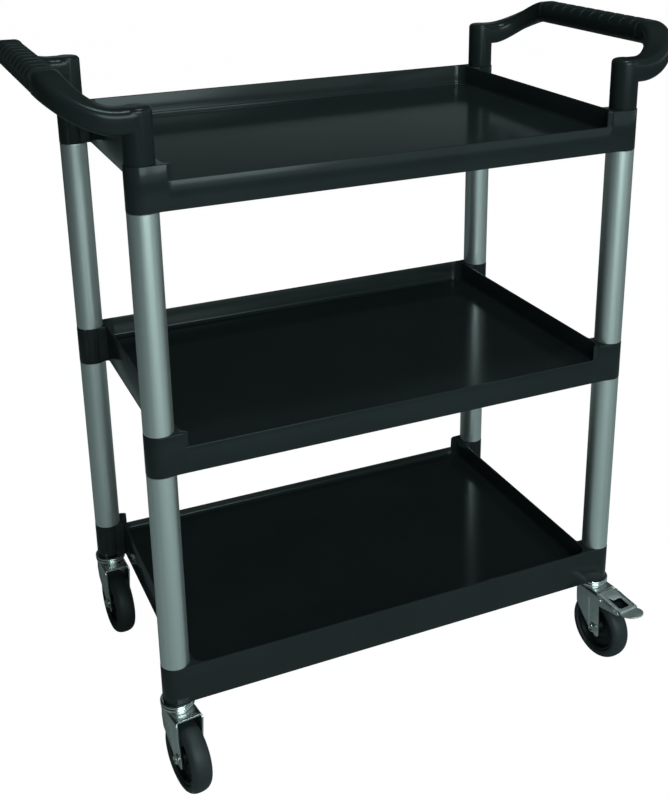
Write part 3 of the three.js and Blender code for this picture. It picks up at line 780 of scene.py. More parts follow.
def arm_rings():
    arm = rounded_section(2 * LEG_R, ARM_DEPTH, ARM_ROUND)
    shoulder = rounded_section(35.6, 30.0, 9.5)
    bar = rounded_section(BAR_WIDTH, BAR_DEPTH, ARM_ROUND)

    def ring(x, y, z, degrees, section):
        turn = math.radians(degrees)
        across = Vector((math.sin(turn), -math.cos(turn), 0))
        return [Vector((x, y, z)) + across * a + Vector((0, 0, b)) for a, b in section]

    half = [ring(HALF_X, -HALF_Y, ARM_Z, 0, arm), ring(HALF_X + 12, -HALF_Y, ARM_Z, 0, arm)]
    for i in range(BENDS + 1):
        degrees = 90 * i / BENDS
        turn = math.radians(degrees)
        half.append(ring(GRIP_X - BEND_R + BEND_R * math.sin(turn),
                         -HALF_Y + BEND_R - BEND_R * math.cos(turn),
                         ARM_Z + (GRIP_Z - ARM_Z) * ease(i / BENDS), degrees, arm))
    end = SLEEVE_HALF + 0.3
    for y, section in ((end + 0.5, arm), (end, shoulder), (end, bar)):
        half.append(ring(GRIP_X, -y, GRIP_Z, 90, section))
    mirrored = [[Vector((p.x, -p.y, p.z)) for p in row] for row in reversed(half)]
    return half + mirrored


# %% [markdown]
# A leg is a turned solid: a thin spigot that plugs into the tube, a shoulder that rests on the
# collar, and a rounded top. A Boolean union makes it and the arm one closed skin, as in the real
# moulding.

# %% Legs and the whole handle
def handle_object(name):
    bm = bmesh.new()
    skin(bm, arm_rings())
    body = mesh_object(name, bm)
    top = ARM_Z + ARM_DEPTH / 2
    end = -DOWN - SPIGOT_REACH
    profile = [(0, end), (SPIGOT_R - 1, end), (SPIGOT_R, end + 2), (SPIGOT_R, 0.3),
               (LEG_R - 0.5, 0.3), (LEG_R, 0.8)]
    profile += arc(LEG_R - LEG_ROUND, top - LEG_ROUND, LEG_ROUND, 0, 90, 6) + [(0, top)]
    for sy in (-1, 1):
        bm = bmesh.new()
        turned(bm, profile, 64, Matrix.Translation((HALF_X, sy * HALF_Y, 0)))
        boolean(body, "UNION", bm)
    return body


ENDS = {"right": Matrix.Identity(4), "left": Matrix.Rotation(math.pi, 4, "Z")}
for side, turn in ENDS.items():
    made = handle_object(f"{side}_handle_moulding")
    made.data.transform(tray_place("top_tray", 0) @ turn)
    finish_piece(made, handle_black, "cart", [f"{side}_handle"])

# %% [markdown]
# ## Grips
# The grip is a soft sleeve with broad ribs over its top, where the palm bears, fading out down
# the outer side. The sleeve itself is a swept skin whose top is sunk by the ribs' height. The
# ribs are one arched bar, repeated along the sleeve by Geometry Nodes with its pitch as an input.

# %% The sleeve
RIB_HEIGHT, RIB_PITCH, RIB_COUNT, RIB_WIDTH = 1.5, 24.0, 9, 18.0
SLEEVE_W, SLEEVE_D, SLEEVE_ROUND = 38.0, 32.0, 13.5
SLEEVE = rounded_section(SLEEVE_W, SLEEVE_D, SLEEVE_ROUND, 10)
SLEEVE_SMOOTH = math.radians(40)


def rib_share(x, z):
    """1 where the ribs are at full height: over the top, from just inside to the outer corner."""
    angle = math.degrees(math.atan2(z, -x))
    return ease((angle - 12) / 26) * ease((172 - angle) / 26)


def sunk(x, y, z, drop):
    """A point of the sleeve's section at y, moved inwards from the surface by drop."""
    flat_x, flat_z = SLEEVE_W / 2 - SLEEVE_ROUND, SLEEVE_D / 2 - SLEEVE_ROUND
    nearest = Vector((max(min(x, flat_x), -flat_x), max(min(z, flat_z), -flat_z)))
    outward = (Vector((x, z)) - nearest).normalized()
    return Vector((x - outward.x * drop, y, z - outward.y * drop))


def sleeve_ring(y, sink, inset=0.0):
    return [sunk(x, y, z, inset + sink * RIB_HEIGHT * rib_share(x, z)) for x, z in SLEEVE]


def sleeve_mesh():
    half = SLEEVE_HALF
    ribbed = RIB_PITCH * RIB_COUNT / 2 - (RIB_PITCH - RIB_WIDTH) / 2
    stations = [(-half, 0, 1.0), (-half + 0.3, 0, 0.3), (-half + 1.0, 0, 0), (-half + 3.0, 0, 0),
                (-half + 3.4, 0, 0.7), (-half + 4.4, 0, 0.7), (-half + 4.8, 0, 0)]
    edge = ribbed + 5.0
    stations += [(-edge - 1.2, 0, 0), (-edge, 0.3, 0), (-edge + 1.4, 1, 0)]
    stations += [(-y, sink, inset) for y, sink, inset in reversed(stations)]
    bm = bmesh.new()
    rings = [sleeve_ring(y, sink, inset) for y, sink, inset in stations]
    inner = rounded_section(BAR_WIDTH + 0.6, BAR_DEPTH + 0.6, ARM_ROUND + 0.3, 10)
    rings.append([Vector((x, half, z)) for x, z in inner])
    rings.append([Vector((x, -half, z)) for x, z in inner])
    skin(bm, rings, loop=True)
    return bm


def rib_mesh():
    """One rib, an arched bar that follows the sleeve's section where the ribs are."""
    half = RIB_WIDTH / 2
    edge = [(-half - 0.6, -0.3), (-half, 0.25), (-half + 0.9, 0.8), (-half + 2.2, 1.0),
            (half - 2.2, 1.0), (half - 0.9, 0.8), (half, 0.25), (half + 0.6, -0.3)]
    rings = []
    for x, z in SLEEVE:
        share = rib_share(x, z)
        if share <= 0.001:
            continue
        rings.append([
            sunk(x, y, z, RIB_HEIGHT * share * (1 - level) + (0.35 if level < 0 else 0.0))
            for y, level in edge
        ])
    bm = bmesh.new()
    skin(bm, rings)
    return bm


# %% [markdown]
# The nine ribs are one rib repeated at an even pitch. The tree takes the rib as an object and
# sets copies of it along a line that is centred on the grip.

# %% A node tree for a row of ribs
row_tree, w_in, w_out = geometry_tree("row of ribs", [
    ("Rib", "NodeSocketObject", None), ("Count", "NodeSocketInt", 9),
    ("Pitch", "NodeSocketFloat", 0.024), ("Finish", "NodeSocketMaterial", None),
])
gaps = node_math(row_tree, "SUBTRACT", w_in.outputs["Count"], 1.0)
reach = node_math(row_tree, "MULTIPLY", gaps, w_in.outputs["Pitch"])
start = node_math(row_tree, "MULTIPLY", reach, -0.5)
row = node(row_tree, "GeometryNodeMeshLine", Count=w_in.outputs["Count"],
           Start_Location=node_xyz(row_tree, y=start),
           Offset=node_xyz(row_tree, y=w_in.outputs["Pitch"]))
one = node(row_tree, "GeometryNodeObjectInfo", Object=w_in.outputs["Rib"])
ribs = node(row_tree, "GeometryNodeInstanceOnPoints", Points=row.outputs[0],
            Instance=one.outputs["Geometry"])
end_tree(row_tree, ribs.outputs[0], w_in, w_out)

# %% [markdown]
# Each end gets its sleeve and its ribs. The left grip is the right one turned half round.

# %% Both grips
rib = mesh_object("one_rib", rib_mesh())
for side, turn in ENDS.items():
    place = (tray_place("top_tray", GRIP_Z) @ turn
             @ Matrix.Translation(Vector((GRIP_X, 0, 0)) * MM))
    made = mesh_object(f"{side}_grip_sleeve", sleeve_mesh())
    made.data.transform(place)
    finish_piece(made, grip_black, "cart", [f"{side}_grip"], SLEEVE_SMOOTH)
    made = grown(f"{side}_grip_ribs", row_tree, Rib=rib, Count=RIB_COUNT,
                 Pitch=RIB_PITCH * MM, Finish=grip_black)
    made.data.transform(place)
    finish_piece(made, grip_black, "cart", smooth=SLEEVE_SMOOTH)
bpy.data.objects.remove(rib)

# %% [markdown]
# ## Casters
# A caster is built in its own frame: its swivel axis is Z, and its wheel trails along +X. The
# direction of each wheel's axle in the frame says which way that caster stands.
#
# The fork is what a press makes of flat sheet: a blank with its holes, folded down each side. So
# it starts as a blank, is creased where it bends, and each point is carried round the bend.

# %% Where each caster stands
TRAIL, WHEEL_R = 25.0, 50.0
CROWN, PLATE = 115.0, 2.5       # the fork's top above the floor, and its sheet
BRAKED = {corner for corner in CORNERS if f"brake_pedal_{corner}" in frame["nodes"]}


def caster_place(corner):
    axle = Vector(JOINTS[f"{corner}_roll"]["axis"])
    return Matrix.Translation(POST[corner]) @ Matrix.Rotation(math.atan2(-axle.x, axle.y), 4, "Z")


PLACE = {corner: caster_place(corner) for corner in CORNERS}
CROSS = Matrix.Translation((TRAIL, 0, WHEEL_R)) @ Matrix.Rotation(-math.pi / 2, 4, "X")
print("braked:", sorted(BRAKED))

# %% [markdown]
# A press leaves a small round on the cut edges of sheet. A Solidify modifier would leave them
# sharp, so the sheet's back and the rounded edge between its faces are built point by point.

# %% A pressed sheet with rolled-over edges
def pressed(sheet, thickness, edge):
    """Thickens a bent sheet inwards and rounds its cut edge."""
    sheet.normal_update()
    faces = list(sheet.faces)
    rims, outward = [], {}
    for rim in [e for e in sheet.edges if e.is_boundary]:
        face = rim.link_faces[0]
        loop = next(l for l in face.loops if l.edge == rim)
        rims.append((loop.vert, loop.link_loop_next.vert))
        along = (loop.link_loop_next.vert.co - loop.vert.co).normalized()
        for vert in rim.verts:
            outward[vert] = outward.get(vert, Vector()) + along.cross(face.normal)
    for way in outward.values():
        way.normalize()
    normal = {v: v.normal.copy() for v in sheet.verts}
    place = {v: v.co.copy() for v in sheet.verts}

    def at(vert, inset, depth):
        return place[vert] - outward[vert] * inset - normal[vert] * depth

    back = {v: sheet.verts.new(place[v] - normal[v] * thickness) for v in place}
    for vert in outward:
        vert.co = at(vert, edge, 0)
        back[vert].co = at(vert, edge, thickness)
    steps = [(edge * (1 - math.sin(a)), edge * (1 - math.cos(a)))
             for a in (math.radians(30), math.radians(60), math.radians(90))]
    steps += [(inset, thickness - depth) for inset, depth in reversed(steps)]
    rows = [{v: v for v in outward}]
    rows += [{v: sheet.verts.new(at(v, *step)) for v in outward} for step in steps]
    rows.append({v: back[v] for v in outward})
    for face in faces:
        sheet.faces.new([back[v] for v in reversed(face.verts)])
    for one, two in zip(rows, rows[1:]):
        for a, b in rims:
            sheet.faces.new((one[b], one[a], two[a], two[b]))
    return sheet


# %% [markdown]
# The fork's legs lean in towards the axle, which sets how far the sheet turns at its bend. The
# rear half of each leg is pressed a little outwards, which stiffens it.

# %% The fork's blank and its bend
BEND_OUT = 5.0                  # outer radius of the bend
SLANT = math.radians(3.52)      # how far a leg leans in
LEG_TOP_Y = 20.0                # a leg's outer face, carried up to the crown
RAISED = 0.9                    # how far the rear of a leg is pressed out
RAISED_END, RAISED_RAMP = 15.5, 2.6
RAISED_TOP, RAISED_RISE = 3.0, 9.0
STEM_HOLE = 5.6
PIVOT_X, PIVOT_Z = 40.0, 107.5  # the brake's pivot
BEND_Y = LEG_TOP_Y - BEND_OUT * (1 + math.sin(SLANT)) / math.cos(SLANT)
TURN = math.pi / 2 + SLANT
BEND_END = BEND_Y + BEND_OUT * TURN
LEG_START = CROWN - BEND_OUT + BEND_OUT * math.cos(TURN)


def along_leg(z):
    """How far out on the flat blank a point of the leg at height z lies."""
    return BEND_END + (LEG_START - z) / math.cos(SLANT)


def fold_fork(sheet):
    for vert in sheet.verts:
        t, s = vert.co.x, abs(vert.co.y)
        side = -1.0 if vert.co.y < 0 else 1.0
        if s <= BEND_Y:
            y, z, out, up = s, CROWN, 0.0, 0.0
        else:
            turn = min((s - BEND_Y) / BEND_OUT, TURN)
            past = max(s - BEND_END, 0.0)
            y = BEND_Y + BEND_OUT * math.sin(turn) - past * math.sin(SLANT)
            z = CROWN - BEND_OUT + BEND_OUT * math.cos(turn) - past * math.cos(SLANT)
            raised = (RAISED * (1 - ease((t - RAISED_END) / RAISED_RAMP))
                      * ease((past - RAISED_TOP) / RAISED_RISE))
            out, up = raised * math.cos(SLANT), -raised * math.sin(SLANT)
        vert.co = (t, side * (y + out), z + up)


def hole(x, y, radius, count=20):
    return arc(x, y, radius, 0, 360 * (count - 1) / count, count - 1)


def fork_outline(braked):
    """The blank's outline, from the front round one leg to the back, then mirrored."""
    tip = along_leg(WHEEL_R)
    if braked:
        half = [(30.0, 0), (30.0, 13.6), (31.2, 15.6), (34.0, 18.6), (39.0, 20.4)]
        half += [(50.0, 22.4), (78.2, along_leg(107.6)), (79.0, along_leg(107.0))]
        half += arc(76.6, along_leg(105.6), 2.4, 0, 60, 3)
        half += [(60.0, along_leg(100.2)), (44.5, along_leg(97.2))]
        half += arc(41.0, along_leg(93.4), 3.9, -80, -178, 6)
        half += [(37.0, along_leg(88.0))]
    else:
        half = [(35.0, 0), (35.0, 12.5)] + arc(33.2, 14.4, 1.8, -20, 50, 3)
        half += [(35.4, 19.0), (36.6, 22.0), (37.0, 25.0)]
    half += [(37.0, tip - 14)] + arc(31.0, tip + 6.6, 6.0, 0, 124, 9)
    half += [(15.4, tip + 2.6), (13.8, tip + 1.0), (12.4, tip - 1.4)]
    half += [(2.0, along_leg(62.6)), (-8.6, along_leg(76.6))]
    half += arc(-5.0, along_leg(81.0), 6.0, 145, 180, 4)
    half += [(-11.0, along_leg(96)), (-11.2, 24.0), (-12.6, 19.0), (-14.6, 15.6)]
    half += arc(0, 0, -21.5, -40, 0, 4)
    return half + [(x, -y) for x, y in half[-2:0:-1]]


def fork_mesh(braked):
    tip = along_leg(WHEEL_R)
    holes = [hole(0, 0, STEM_HOLE, 28)] + [hole(TRAIL, side * tip, 4.3) for side in (-1, 1)]
    if braked:
        holes += [hole(PIVOT_X, side * along_leg(PIVOT_Z), 2.2, 14) for side in (-1, 1)]
    sheet = blank(fork_outline(braked), holes)
    bends = [BEND_Y + (BEND_END - BEND_Y) * i / 8 for i in range(9)]
    bends += [BEND_END + step for step in (RAISED_TOP, 5, 6.5, 8, 9.5, RAISED_TOP + RAISED_RISE)]
    crease_lines(sheet, "y", [side * place for side in (-1, 1) for place in bends])
    ramp = (0, 0.6, 1.3, 2.0, RAISED_RAMP)
    crease_lines(sheet, "x", [RAISED_END + step for step in ramp])
    fold_fork(sheet)
    return pressed(sheet, PLATE, 0.45)


# %% [markdown]
# Each fork is folded from its blank, and the raised ring that its balls run on is turned on top
# of it.

# %% Forks
RACE_PROFILE = [(10.8, 114.7), (20.7, 114.7), (21.2, 115.1), (21.3, 115.9), (20.9, 116.4),
                (20.2, 116.6), (18.6, 116.6), (17.6, 116.15), (16.5, 116.0), (15.4, 116.15),
                (14.4, 116.6), (10.8, 116.6)]
for corner in CORNERS:
    bm = bmesh.new()
    add_to(bm, fork_mesh(corner in BRAKED))
    turned(bm, RACE_PROFILE, 96)
    bmesh.ops.transform(bm, matrix=PLACE[corner], verts=bm.verts)
    made = mesh_object(f"pressed_fork_{corner}", bm, weld=FINE_WELD)
    finish_piece(made, zinc_plate, f"swivel_{corner}", [f"fork_{corner}"])

# %% [markdown]
# The swivel's fixed half is a spun cup with two bright beads and a groove between them. A ring
# of balls runs inside it, placed round a circle by Geometry Nodes.

# %% Swivel cups
CUP_PROFILE = [(STEM_HOLE, 122.2), (20.2, 122.2), (20.2, 117.3), (20.6, 117.0), (21.6, 117.0),
               (22.3, 117.5), (22.75, 118.4), (22.9, 119.4), (22.7, 120.4), (22.2, 121.1),
               (21.6, 121.5), (21.5, 121.9), (21.9, 122.3), (22.6, 122.7), (23.0, 123.3),
               (23.0, 124.4), (22.7, 125.0), (22.1, 125.5), (21.2, 125.7), (STEM_HOLE, 125.7)]
for corner in CORNERS:
    bm = bmesh.new()
    turned(bm, CUP_PROFILE, 128, PLACE[corner])
    made = mesh_object(f"spun_cup_{corner}", bm)
    finish_piece(made, ring_plate, "cart", [f"swivel_cup_{corner}"],
                 math.radians(50))

# %% [markdown]
# The balls sit at even steps round a circle, so a small tree makes them: a circle's points,
# with a ball on each.

# %% A node tree for a ring of balls
ball_tree, b_in, b_out = geometry_tree("ring of balls", [
    ("Count", "NodeSocketInt", 18), ("Ring Radius", "NodeSocketFloat", 0.0165),
    ("Ball Radius", "NodeSocketFloat", 0.0024), ("Finish", "NodeSocketMaterial", None),
])
circle = node(ball_tree, "GeometryNodeMeshCircle", Vertices=b_in.outputs["Count"],
              Radius=b_in.outputs["Ring Radius"])
ball = node(ball_tree, "GeometryNodeMeshIcoSphere", Radius=b_in.outputs["Ball Radius"],
            Subdivisions=2)
balls = node(ball_tree, "GeometryNodeInstanceOnPoints", Points=circle.outputs[0],
             Instance=ball.outputs[0])
end_tree(ball_tree, balls.outputs[0], b_in, b_out)
BALL_HEIGHT = 118.45
for corner in CORNERS:
    made = grown(f"ball_ring_{corner}", ball_tree, Count=18, Finish=oiled_steel)
    home = PLACE[corner].copy()
    home.translation = (home.translation + Vector((0, 0, BALL_HEIGHT))) * MM
    made.data.transform(home)
    finish_piece(made, oiled_steel, body_of(f"ball_race_{corner}"),
                 [f"ball_race_{corner}"])

# %% [markdown]
# The axle is a bolt with a hexagon head and a nut, both with eased corners as if turned from
# bar. The wheel is a dished moulding with stepped rings, and its tyre has a full round tread.

# %% Axle bolts
def hexagon_rings(flat, base, height, dish):
    """A hexagon head along +Z, its top corners chamfered and its middle dished."""
    sides = 48

    def ring(level, grow=0.0, chamfer=0.0):
        points = []
        for way in circle_points(1, 0, sides):
            turn = math.atan2(way.y, way.x) % (2 * math.pi)
            corner = flat / math.cos((turn + math.pi / 6) % (math.pi / 3) - math.pi / 6)
            lowered = (corner - flat) * chamfer
            points.append(way * (corner + grow) + Vector((0, 0, level - lowered)))
        return points

    rings = [ring(base, -0.15), ring(base + 0.15), ring(height - 0.35, 0, 0.9),
             ring(height - 0.1, -0.12, 0.9)]
    return rings + [circle_points(radius, level, sides) for radius, level in (
        (flat - 0.45, height), (dish + 0.5, height), (dish, height - 0.5),
        (dish - 0.9, height - 1.3), (0.6, height - 1.4))]


FACE = 16.8             # a fork leg's outer face at the axle
for corner in CORNERS:
    bm = bmesh.new()
    for side in (-1, 1):
        out = PLACE[corner] @ CROSS @ Matrix.Rotation(math.pi * (side < 0), 4, "X")
        washer = [(4.2, FACE - 0.1), (7.1, FACE - 0.1), (7.4, FACE + 0.15), (7.4, FACE + 0.6),
                  (7.1, FACE + 0.85), (4.2, FACE + 0.85)]
        turned(bm, washer, 64, out)
        fresh = bmesh.new()
        skin(fresh, hexagon_rings(5.6, FACE + 0.8, FACE + 3.7, 3.4))
        add_to(bm, fresh, out)
    turned(bm, [(0, -FACE - 1), (4.0, -FACE - 1), (4.0, FACE + 1), (0, FACE + 1)], 48,
           PLACE[corner] @ CROSS)
    made = mesh_object(f"axle_with_nut_{corner}", bm)
    node_name = f"axle_bolt_{corner}"
    finish_piece(made, zinc_plate, body_of(node_name), [node_name],
                 math.radians(28))

# %% [markdown]
# A wheel's centre and its tyre are each half a profile, mirrored to the other side and turned
# about the axle. The tread's curve is a little fuller than a circle.

# %% Wheels
HUB_SIDE = [(6.4, 11.5), (6.8, 11.8), (9.6, 11.8), (10.4, 11.4), (10.9, 10.6), (11.4, 6.6),
            (12.4, 5.4), (14.0, 5.0), (19.6, 5.0), (20.0, 5.4), (20.4, 6.0), (23.2, 6.0),
            (23.7, 5.5), (24.1, 5.0), (29.0, 5.0), (30.6, 5.4), (31.8, 6.4), (33.2, 10.2),
            (33.8, 11.1), (34.6, 11.5), (36.4, 11.5), (36.8, 11.3), (37.0, 10.9)]


def both_sides(profile):
    """A profile with its mirror image, so that a wheel is turned in one go."""
    return profile + [(radius, -across) for radius, across in reversed(profile)]


def tyre_side():
    side = [(37.3, 11.2), (37.6, 12.2), (38.6, 13.4), (39.6, 14.2), (40.2, 14.3), (40.6, 14.1),
            (41.0, 14.4)]
    for i in range(15):
        turn = math.radians(12 + 78 * i / 14)
        side.append((39.0 + 11.0 * math.sin(turn) ** 0.86, 15.0 * math.cos(turn) ** 0.86))
    return side


for corner in CORNERS:
    place = PLACE[corner] @ CROSS
    body = body_of(f"tyre_{corner}")
    bm = bmesh.new()
    turned(bm, both_sides(HUB_SIDE), 96, place)
    made = mesh_object(f"dished_wheel_{corner}", bm)
    finish_piece(made, hub_black, body, [f"wheel_centre_{corner}"],
                 math.radians(35))
    bm = bmesh.new()
    turned(bm, both_sides(tyre_side()), 128, place)
    made = mesh_object(f"round_tyre_{corner}", bm)
    finish_piece(made, tyre_rubber, body, [f"tyre_{corner}"], math.radians(40))

# %% [markdown]
# ## Brake pedals
# The pedal is another pressing: a plate with its sides folded down between the fork's cheeks,
# a window with two small tabs turned down into it, and beyond a step a tongue for the toe. A
# folded strip under it reaches for the tread when it is down. It turns on a dimpled rivet.

# %% The pedal's blank and its folds
PEDAL_BACK, PEDAL_TOP, PEDAL_HALF, PEDAL_BEND = 31.5, 114.0, 16.1, 3.0
PEDAL_SLOPE = math.atan2(5.5, 48.5)
SIDES_END = 44.0                # where the folded sides stop
STEP_START, STEP_LENGTH, STEP_ANGLE = 47.4, 2.2, 0.62
TONGUE_RISE = 0.20
FLAT = PEDAL_HALF - PEDAL_BEND
FOLD_END = FLAT + PEDAL_BEND * math.pi / 2


def fold_pedal(sheet):
    for vert in sheet.verts:
        u, s = vert.co.x, abs(vert.co.y)
        side = -1.0 if vert.co.y < 0 else 1.0
        if u <= STEP_START:
            t, w = u, 0.0
        elif u <= STEP_START + STEP_LENGTH:
            t = STEP_START + (u - STEP_START) * math.cos(STEP_ANGLE)
            w = -(u - STEP_START) * math.sin(STEP_ANGLE)
        else:
            past = u - STEP_START - STEP_LENGTH
            rise = TONGUE_RISE + PEDAL_SLOPE
            t = STEP_START + STEP_LENGTH * math.cos(STEP_ANGLE) + past * math.cos(rise)
            w = -STEP_LENGTH * math.sin(STEP_ANGLE) + past * math.sin(rise)
        y = s
        if s > FLAT and u < SIDES_END:
            turn = min((s - FLAT) / PEDAL_BEND, math.pi / 2)
            past = max(s - FOLD_END, 0.0)
            y = FLAT + PEDAL_BEND * math.sin(turn)
            w -= PEDAL_BEND * (1 - math.cos(turn)) + past
        vert.co = (t, side * y, w)


def pedal_mesh():
    reach = FOLD_END - PEDAL_BEND
    half = [(0, 0), (0, 13.0), (0, FOLD_END + 0.5), (0.4, reach + 10.0), (1.2, reach + 10.4),
            (13.0, reach + 8.9), (38.6, reach + 4.4), (40.4, reach + 3.4),
            (41.2, FOLD_END - 0.6), (42.4, 16.4), (43.6, 15.2), (45.0, 14.9),
            (STEP_START, 15.0), (49.6, 15.6), (51.5, 16.6)]
    half += [(56.0 + 17.6 * math.sin(math.radians(a)), 17.1 * math.cos(math.radians(a)))
             for a in range(0, 91, 6)]
    outline = half + [(x, -y) for x, y in half[-2:0:-1]]
    window = [(21.5, -9.6), (28.0, -9.6), (41.0, -9.6), (42.0, -8.6), (42.0, 8.6), (41.0, 9.6),
              (22.5, 9.6), (21.5, 8.6), (21.5, -4.6), (20.5, -5.0), (16.4, -6.2), (15.6, -7.0),
              (15.6, -8.6), (16.4, -9.4)]
    sheet = blank(outline, [window])
    crease_lines(sheet, "x", [SIDES_END, STEP_START, STEP_START + STEP_LENGTH])
    folds = [FLAT + PEDAL_BEND * math.pi / 2 * i / 6 for i in range(7)]
    crease_lines(sheet, "y", [side * place for side in (-1, 1) for place in folds])
    fold_pedal(sheet)
    pressed(sheet, 2.0, 0.35)
    bm = bmesh.new()
    add_to(bm, sheet)
    root, tip = 42.8, 34.6
    for low, high, depth in ((-8.4, -2.6, 5.2), (2.2, 8.6, 6.2)):
        tab = blank([(root, low), (root, high), (36.0, high - 1.2), (tip, high - 2.2),
                     (tip, low + 1.6), (36.0, low + 0.6)])
        for vert in tab.verts:
            vert.co.z = -1.0 - depth * ((root - vert.co.x) / (root - tip)) ** 1.3
        add_to(bm, pressed(tab, 1.2, 0.25))
    return bm


def strip(bm, line, thickness, half_width):
    """A folded strip across the caster, its bends given along the trail and up."""
    points = [Vector(point) for point in line]
    back = []
    for i, point in enumerate(points):
        along = points[min(i + 1, len(points) - 1)] - points[max(i - 1, 0)]
        back.append(point + Vector((-along.y, along.x)).normalized() * thickness)
    outline = points + back[::-1]
    fresh = bmesh.new()
    skin(fresh, [[Vector((p.x, y, p.y)) for p in outline] for y in (-half_width, half_width)])
    add_to(bm, fresh)


def shoe_mesh():
    """The leaf under the window and the shoe that bears on the tread, in the caster's frame."""
    bm = bmesh.new()
    strip(bm, [(46.0, 110.8), (46.0, 106.4), (46.8, 104.9), (48.4, 104.2), (66.0, 102.9),
               (67.8, 103.4), (69.0, 104.8)], 1.2, 13.6)
    strip(bm, [(49.6, 104.2), (49.6, 101.6), (50.0, 100.2), (51.0, 99.3), (56.3, 97.4)],
          1.8, 10.8)
    return bm


def rivet(bm, side):
    """Half of the pivot, from the middle out to its dimpled head."""
    place = (Matrix.Translation((PIVOT_X, 0, PIVOT_Z))
             @ Matrix.Rotation(-side * math.pi / 2, 4, "X"))
    turned(bm, [(0, 19.95), (0.7, 20.0), (1.3, 20.45), (1.9, 20.5), (2.5, 20.2), (2.8, 19.7),
                (2.8, 19.1), (2.0, 19.0), (2.0, 0.0), (0, 0.0)], 40, place)


for corner in sorted(BRAKED):
    body = body_of(f"brake_pedal_{corner}")
    lean = (Matrix.Translation((PEDAL_BACK, 0, PEDAL_TOP))
            @ Matrix.Rotation(PEDAL_SLOPE, 4, "Y"))
    bm = bmesh.new()
    add_to(bm, pedal_mesh(), PLACE[corner] @ lean)
    made = mesh_object(f"pressed_pedal_{corner}", bm, weld=FINE_WELD)
    # The pedal's lighter zinc colour is painted light.
    finish_piece(made, pedal_zinc_painted_light, body, [f"brake_pedal_{corner}"])
    bm = bmesh.new()
    add_to(bm, shoe_mesh(), PLACE[corner])
    made = mesh_object(f"brake_shoe_{corner}", bm)
    round_edges(made, 0.25, 2, 40)
    # Its near-black colour is painted shade.
    finish_piece(made, leaf_steel_painted_shade, body)
    bm = bmesh.new()
    for side in (-1, 1):
        rivet(bm, side)
    bmesh.ops.transform(bm, matrix=PLACE[corner], verts=bm.verts)
    made = mesh_object(f"pedal_rivet_{corner}", bm)
    finish_piece(made, ring_plate, body_of(f"brake_pin_{corner}"),
                 [f"brake_pin_{corner}"])

# %% [markdown]
# The joiners inside the middle tray, the caster sockets, the kingpins and the wheel bushes are
# wholly inside other pieces. The CAD's own are kept for them, with real finishes.

# %% Finishes for the hidden CAD pieces
for name, shown in frame["nodes"].items():
    if shown.hide_render:
        continue
    finish = nylon_black if "joiner" in name or "socket" in name else oiled_steel
    shown.data.materials.clear()
    shown.data.materials.append(finish)
    print("kept:", name)

# %% [markdown]
# ## Camera and light
# The camera stands a little above the top tray, left of centre, with a long lens. The lens is
# shifted downwards, as on a view camera, which keeps the posts nearly upright.

# %% Camera
PITCH, YAW, ROLL = math.radians(19.13), math.radians(23.97), math.radians(-0.71)
forward = Vector((math.sin(YAW) * math.cos(PITCH), math.cos(YAW) * math.cos(PITCH),
                  -math.sin(PITCH)))
level = Vector((math.cos(YAW), -math.sin(YAW), 0))
upright = level.cross(forward)
right = level * math.cos(ROLL) + upright * math.sin(ROLL)
top = right.cross(forward)
lens = bpy.data.cameras.new("camera")
lens.sensor_width, lens.lens = 36.0, 53.1
lens.shift_x, lens.shift_y = -0.018, -0.175
lens.clip_start, lens.clip_end = 0.1, 60.0
camera = linked("camera", lens)
place = Matrix.Translation((-0.6401, -1.4617 + MIDDLE_Y * MM, 1.1822))
camera.matrix_world = place @ Matrix((right, top, -forward)).transposed().to_4x4()
bpy.context.scene.camera = camera
print("camera at", [round(v, 3) for v in camera.location])

# %% [markdown]
# The cart stands on a plain pale floor in a white room, lit from a wide box in front and a
# weak one overhead. Seen straight on the floor and the room are pure white, but what surfaces
# mirror is shaped: dim to the left and high up, bright along the horizon in front.

# %% Floor and lamps
floor_mesh = bpy.data.meshes.new("floor")
floor_mesh.from_pydata([(-9, -9, 0), (9, -9, 0), (9, 9, 0), (-9, 9, 0)], [], [(0, 1, 2, 3)])
floor = linked("floor", floor_mesh)
floor_finish = Finish("white floor", Base_Color=(0.46, 0.48, 0.48, 1), Roughness=0.9,
                      Specular_IOR_Level=0.1)
floor_tree = floor_finish.tree
FLOOR_GLOW, SEEN_SHARE = 1.10, 0.90
glow = node(floor_tree, "ShaderNodeEmission", Strength=FLOOR_GLOW)
straight = floor_tree.nodes.new("ShaderNodeLightPath").outputs["Is Camera Ray"]
floor_mix = node(floor_tree, "ShaderNodeMixShader",
                 Fac=node_math(floor_tree, "MULTIPLY", straight, SEEN_SHARE))
floor_tree.links.new(floor_finish.shader.outputs[0], floor_mix.inputs[1])
floor_tree.links.new(glow.outputs[0], floor_mix.inputs[2])
floor_tree.links.new(floor_mix.outputs[0],
                     floor_tree.nodes["Material Output"].inputs["Surface"])
floor_mesh.materials.append(floor_finish.material)
floor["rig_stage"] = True
COOL = (0.77, 1.0, 0.975)      # the tint of every lamp and of the room's light


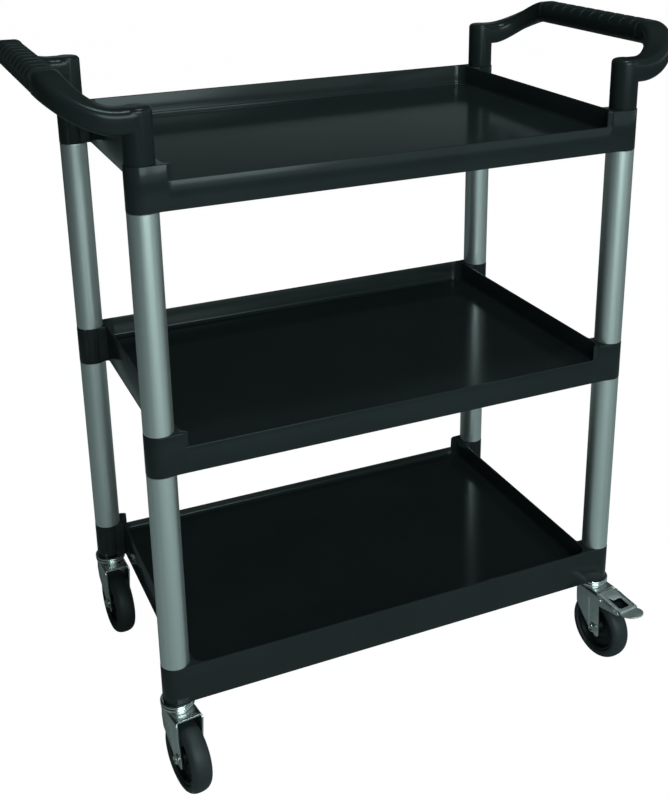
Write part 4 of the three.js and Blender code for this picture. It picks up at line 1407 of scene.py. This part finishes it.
def lamp(name, place, target, width, height, watts):
    data = bpy.data.lights.new(name, "AREA")
    data.shape, data.size, data.size_y, data.energy = "RECTANGLE", width, height, watts
    data.color = COOL
    made = linked(name, data)
    made.location = place
    made.rotation_mode = "QUATERNION"
    made.rotation_quaternion = (Vector(target) - Vector(place)).to_track_quat("-Z", "Y")
    made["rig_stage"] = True
    return made


overhead = lamp("overhead box", (0.3, -0.6, 3.2), (0, 0, 0.4), 1.2, 0.35, 6)
overhead.data.spread = math.radians(100)
lamp("front box", (-0.1, -2.6, 1.5), (0, -0.2, 0.5), 2.0, 1.2, 37)

# %% [markdown]
# The room is the world's own shader. Looking straight at it gives white, and a reflection gives
# the shaped light.

# %% World
scene = bpy.context.scene
world = bpy.data.worlds.new("white room")
scene.world = world
world.use_nodes = True
sky = world.node_tree
sky.nodes.clear()
straight = sky.nodes.new("ShaderNodeLightPath").outputs["Is Camera Ray"]
way = node(sky, "ShaderNodeSeparateXYZ",
           Vector=sky.nodes.new("ShaderNodeTexCoord").outputs["Generated"])


def eased_range(axis, low, high, start, end):
    """Eases from low to high as a direction's x, y or z goes from start to end."""
    made = node(sky, "ShaderNodeMapRange", Value=way.outputs[axis], From_Min=start,
                From_Max=end, To_Min=low, To_Max=high)
    made.interpolation_type = "SMOOTHSTEP"
    return made.outputs[0]


left_right = eased_range("X", 0.06, 0.5, -0.75, 0.15)
front_back = eased_range("Y", 1.5, 0.36, -0.2, 0.6)
height = eased_range("Z", 1.0, 0.19, 0.215, 0.240)
shape = node_math(sky, "MULTIPLY", node_math(sky, "MULTIPLY", left_right, front_back), height)
mirrored = node(sky, "ShaderNodeBackground", Color=(*COOL, 1), Strength=shape)
seen = node(sky, "ShaderNodeBackground", Color=(1, 1, 1, 1))
mix = node(sky, "ShaderNodeMixShader", Fac=straight)
sky.links.new(mirrored.outputs[0], mix.inputs[1])
sky.links.new(seen.outputs[0], mix.inputs[2])
sky.links.new(mix.outputs[0], sky.nodes.new("ShaderNodeOutputWorld").inputs[0])
scene.view_settings.view_transform = "Standard"
print("room ready")

# %% Write the sizes and finish
low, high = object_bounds()
print("size:", [round(v, 4) for v in high - low])
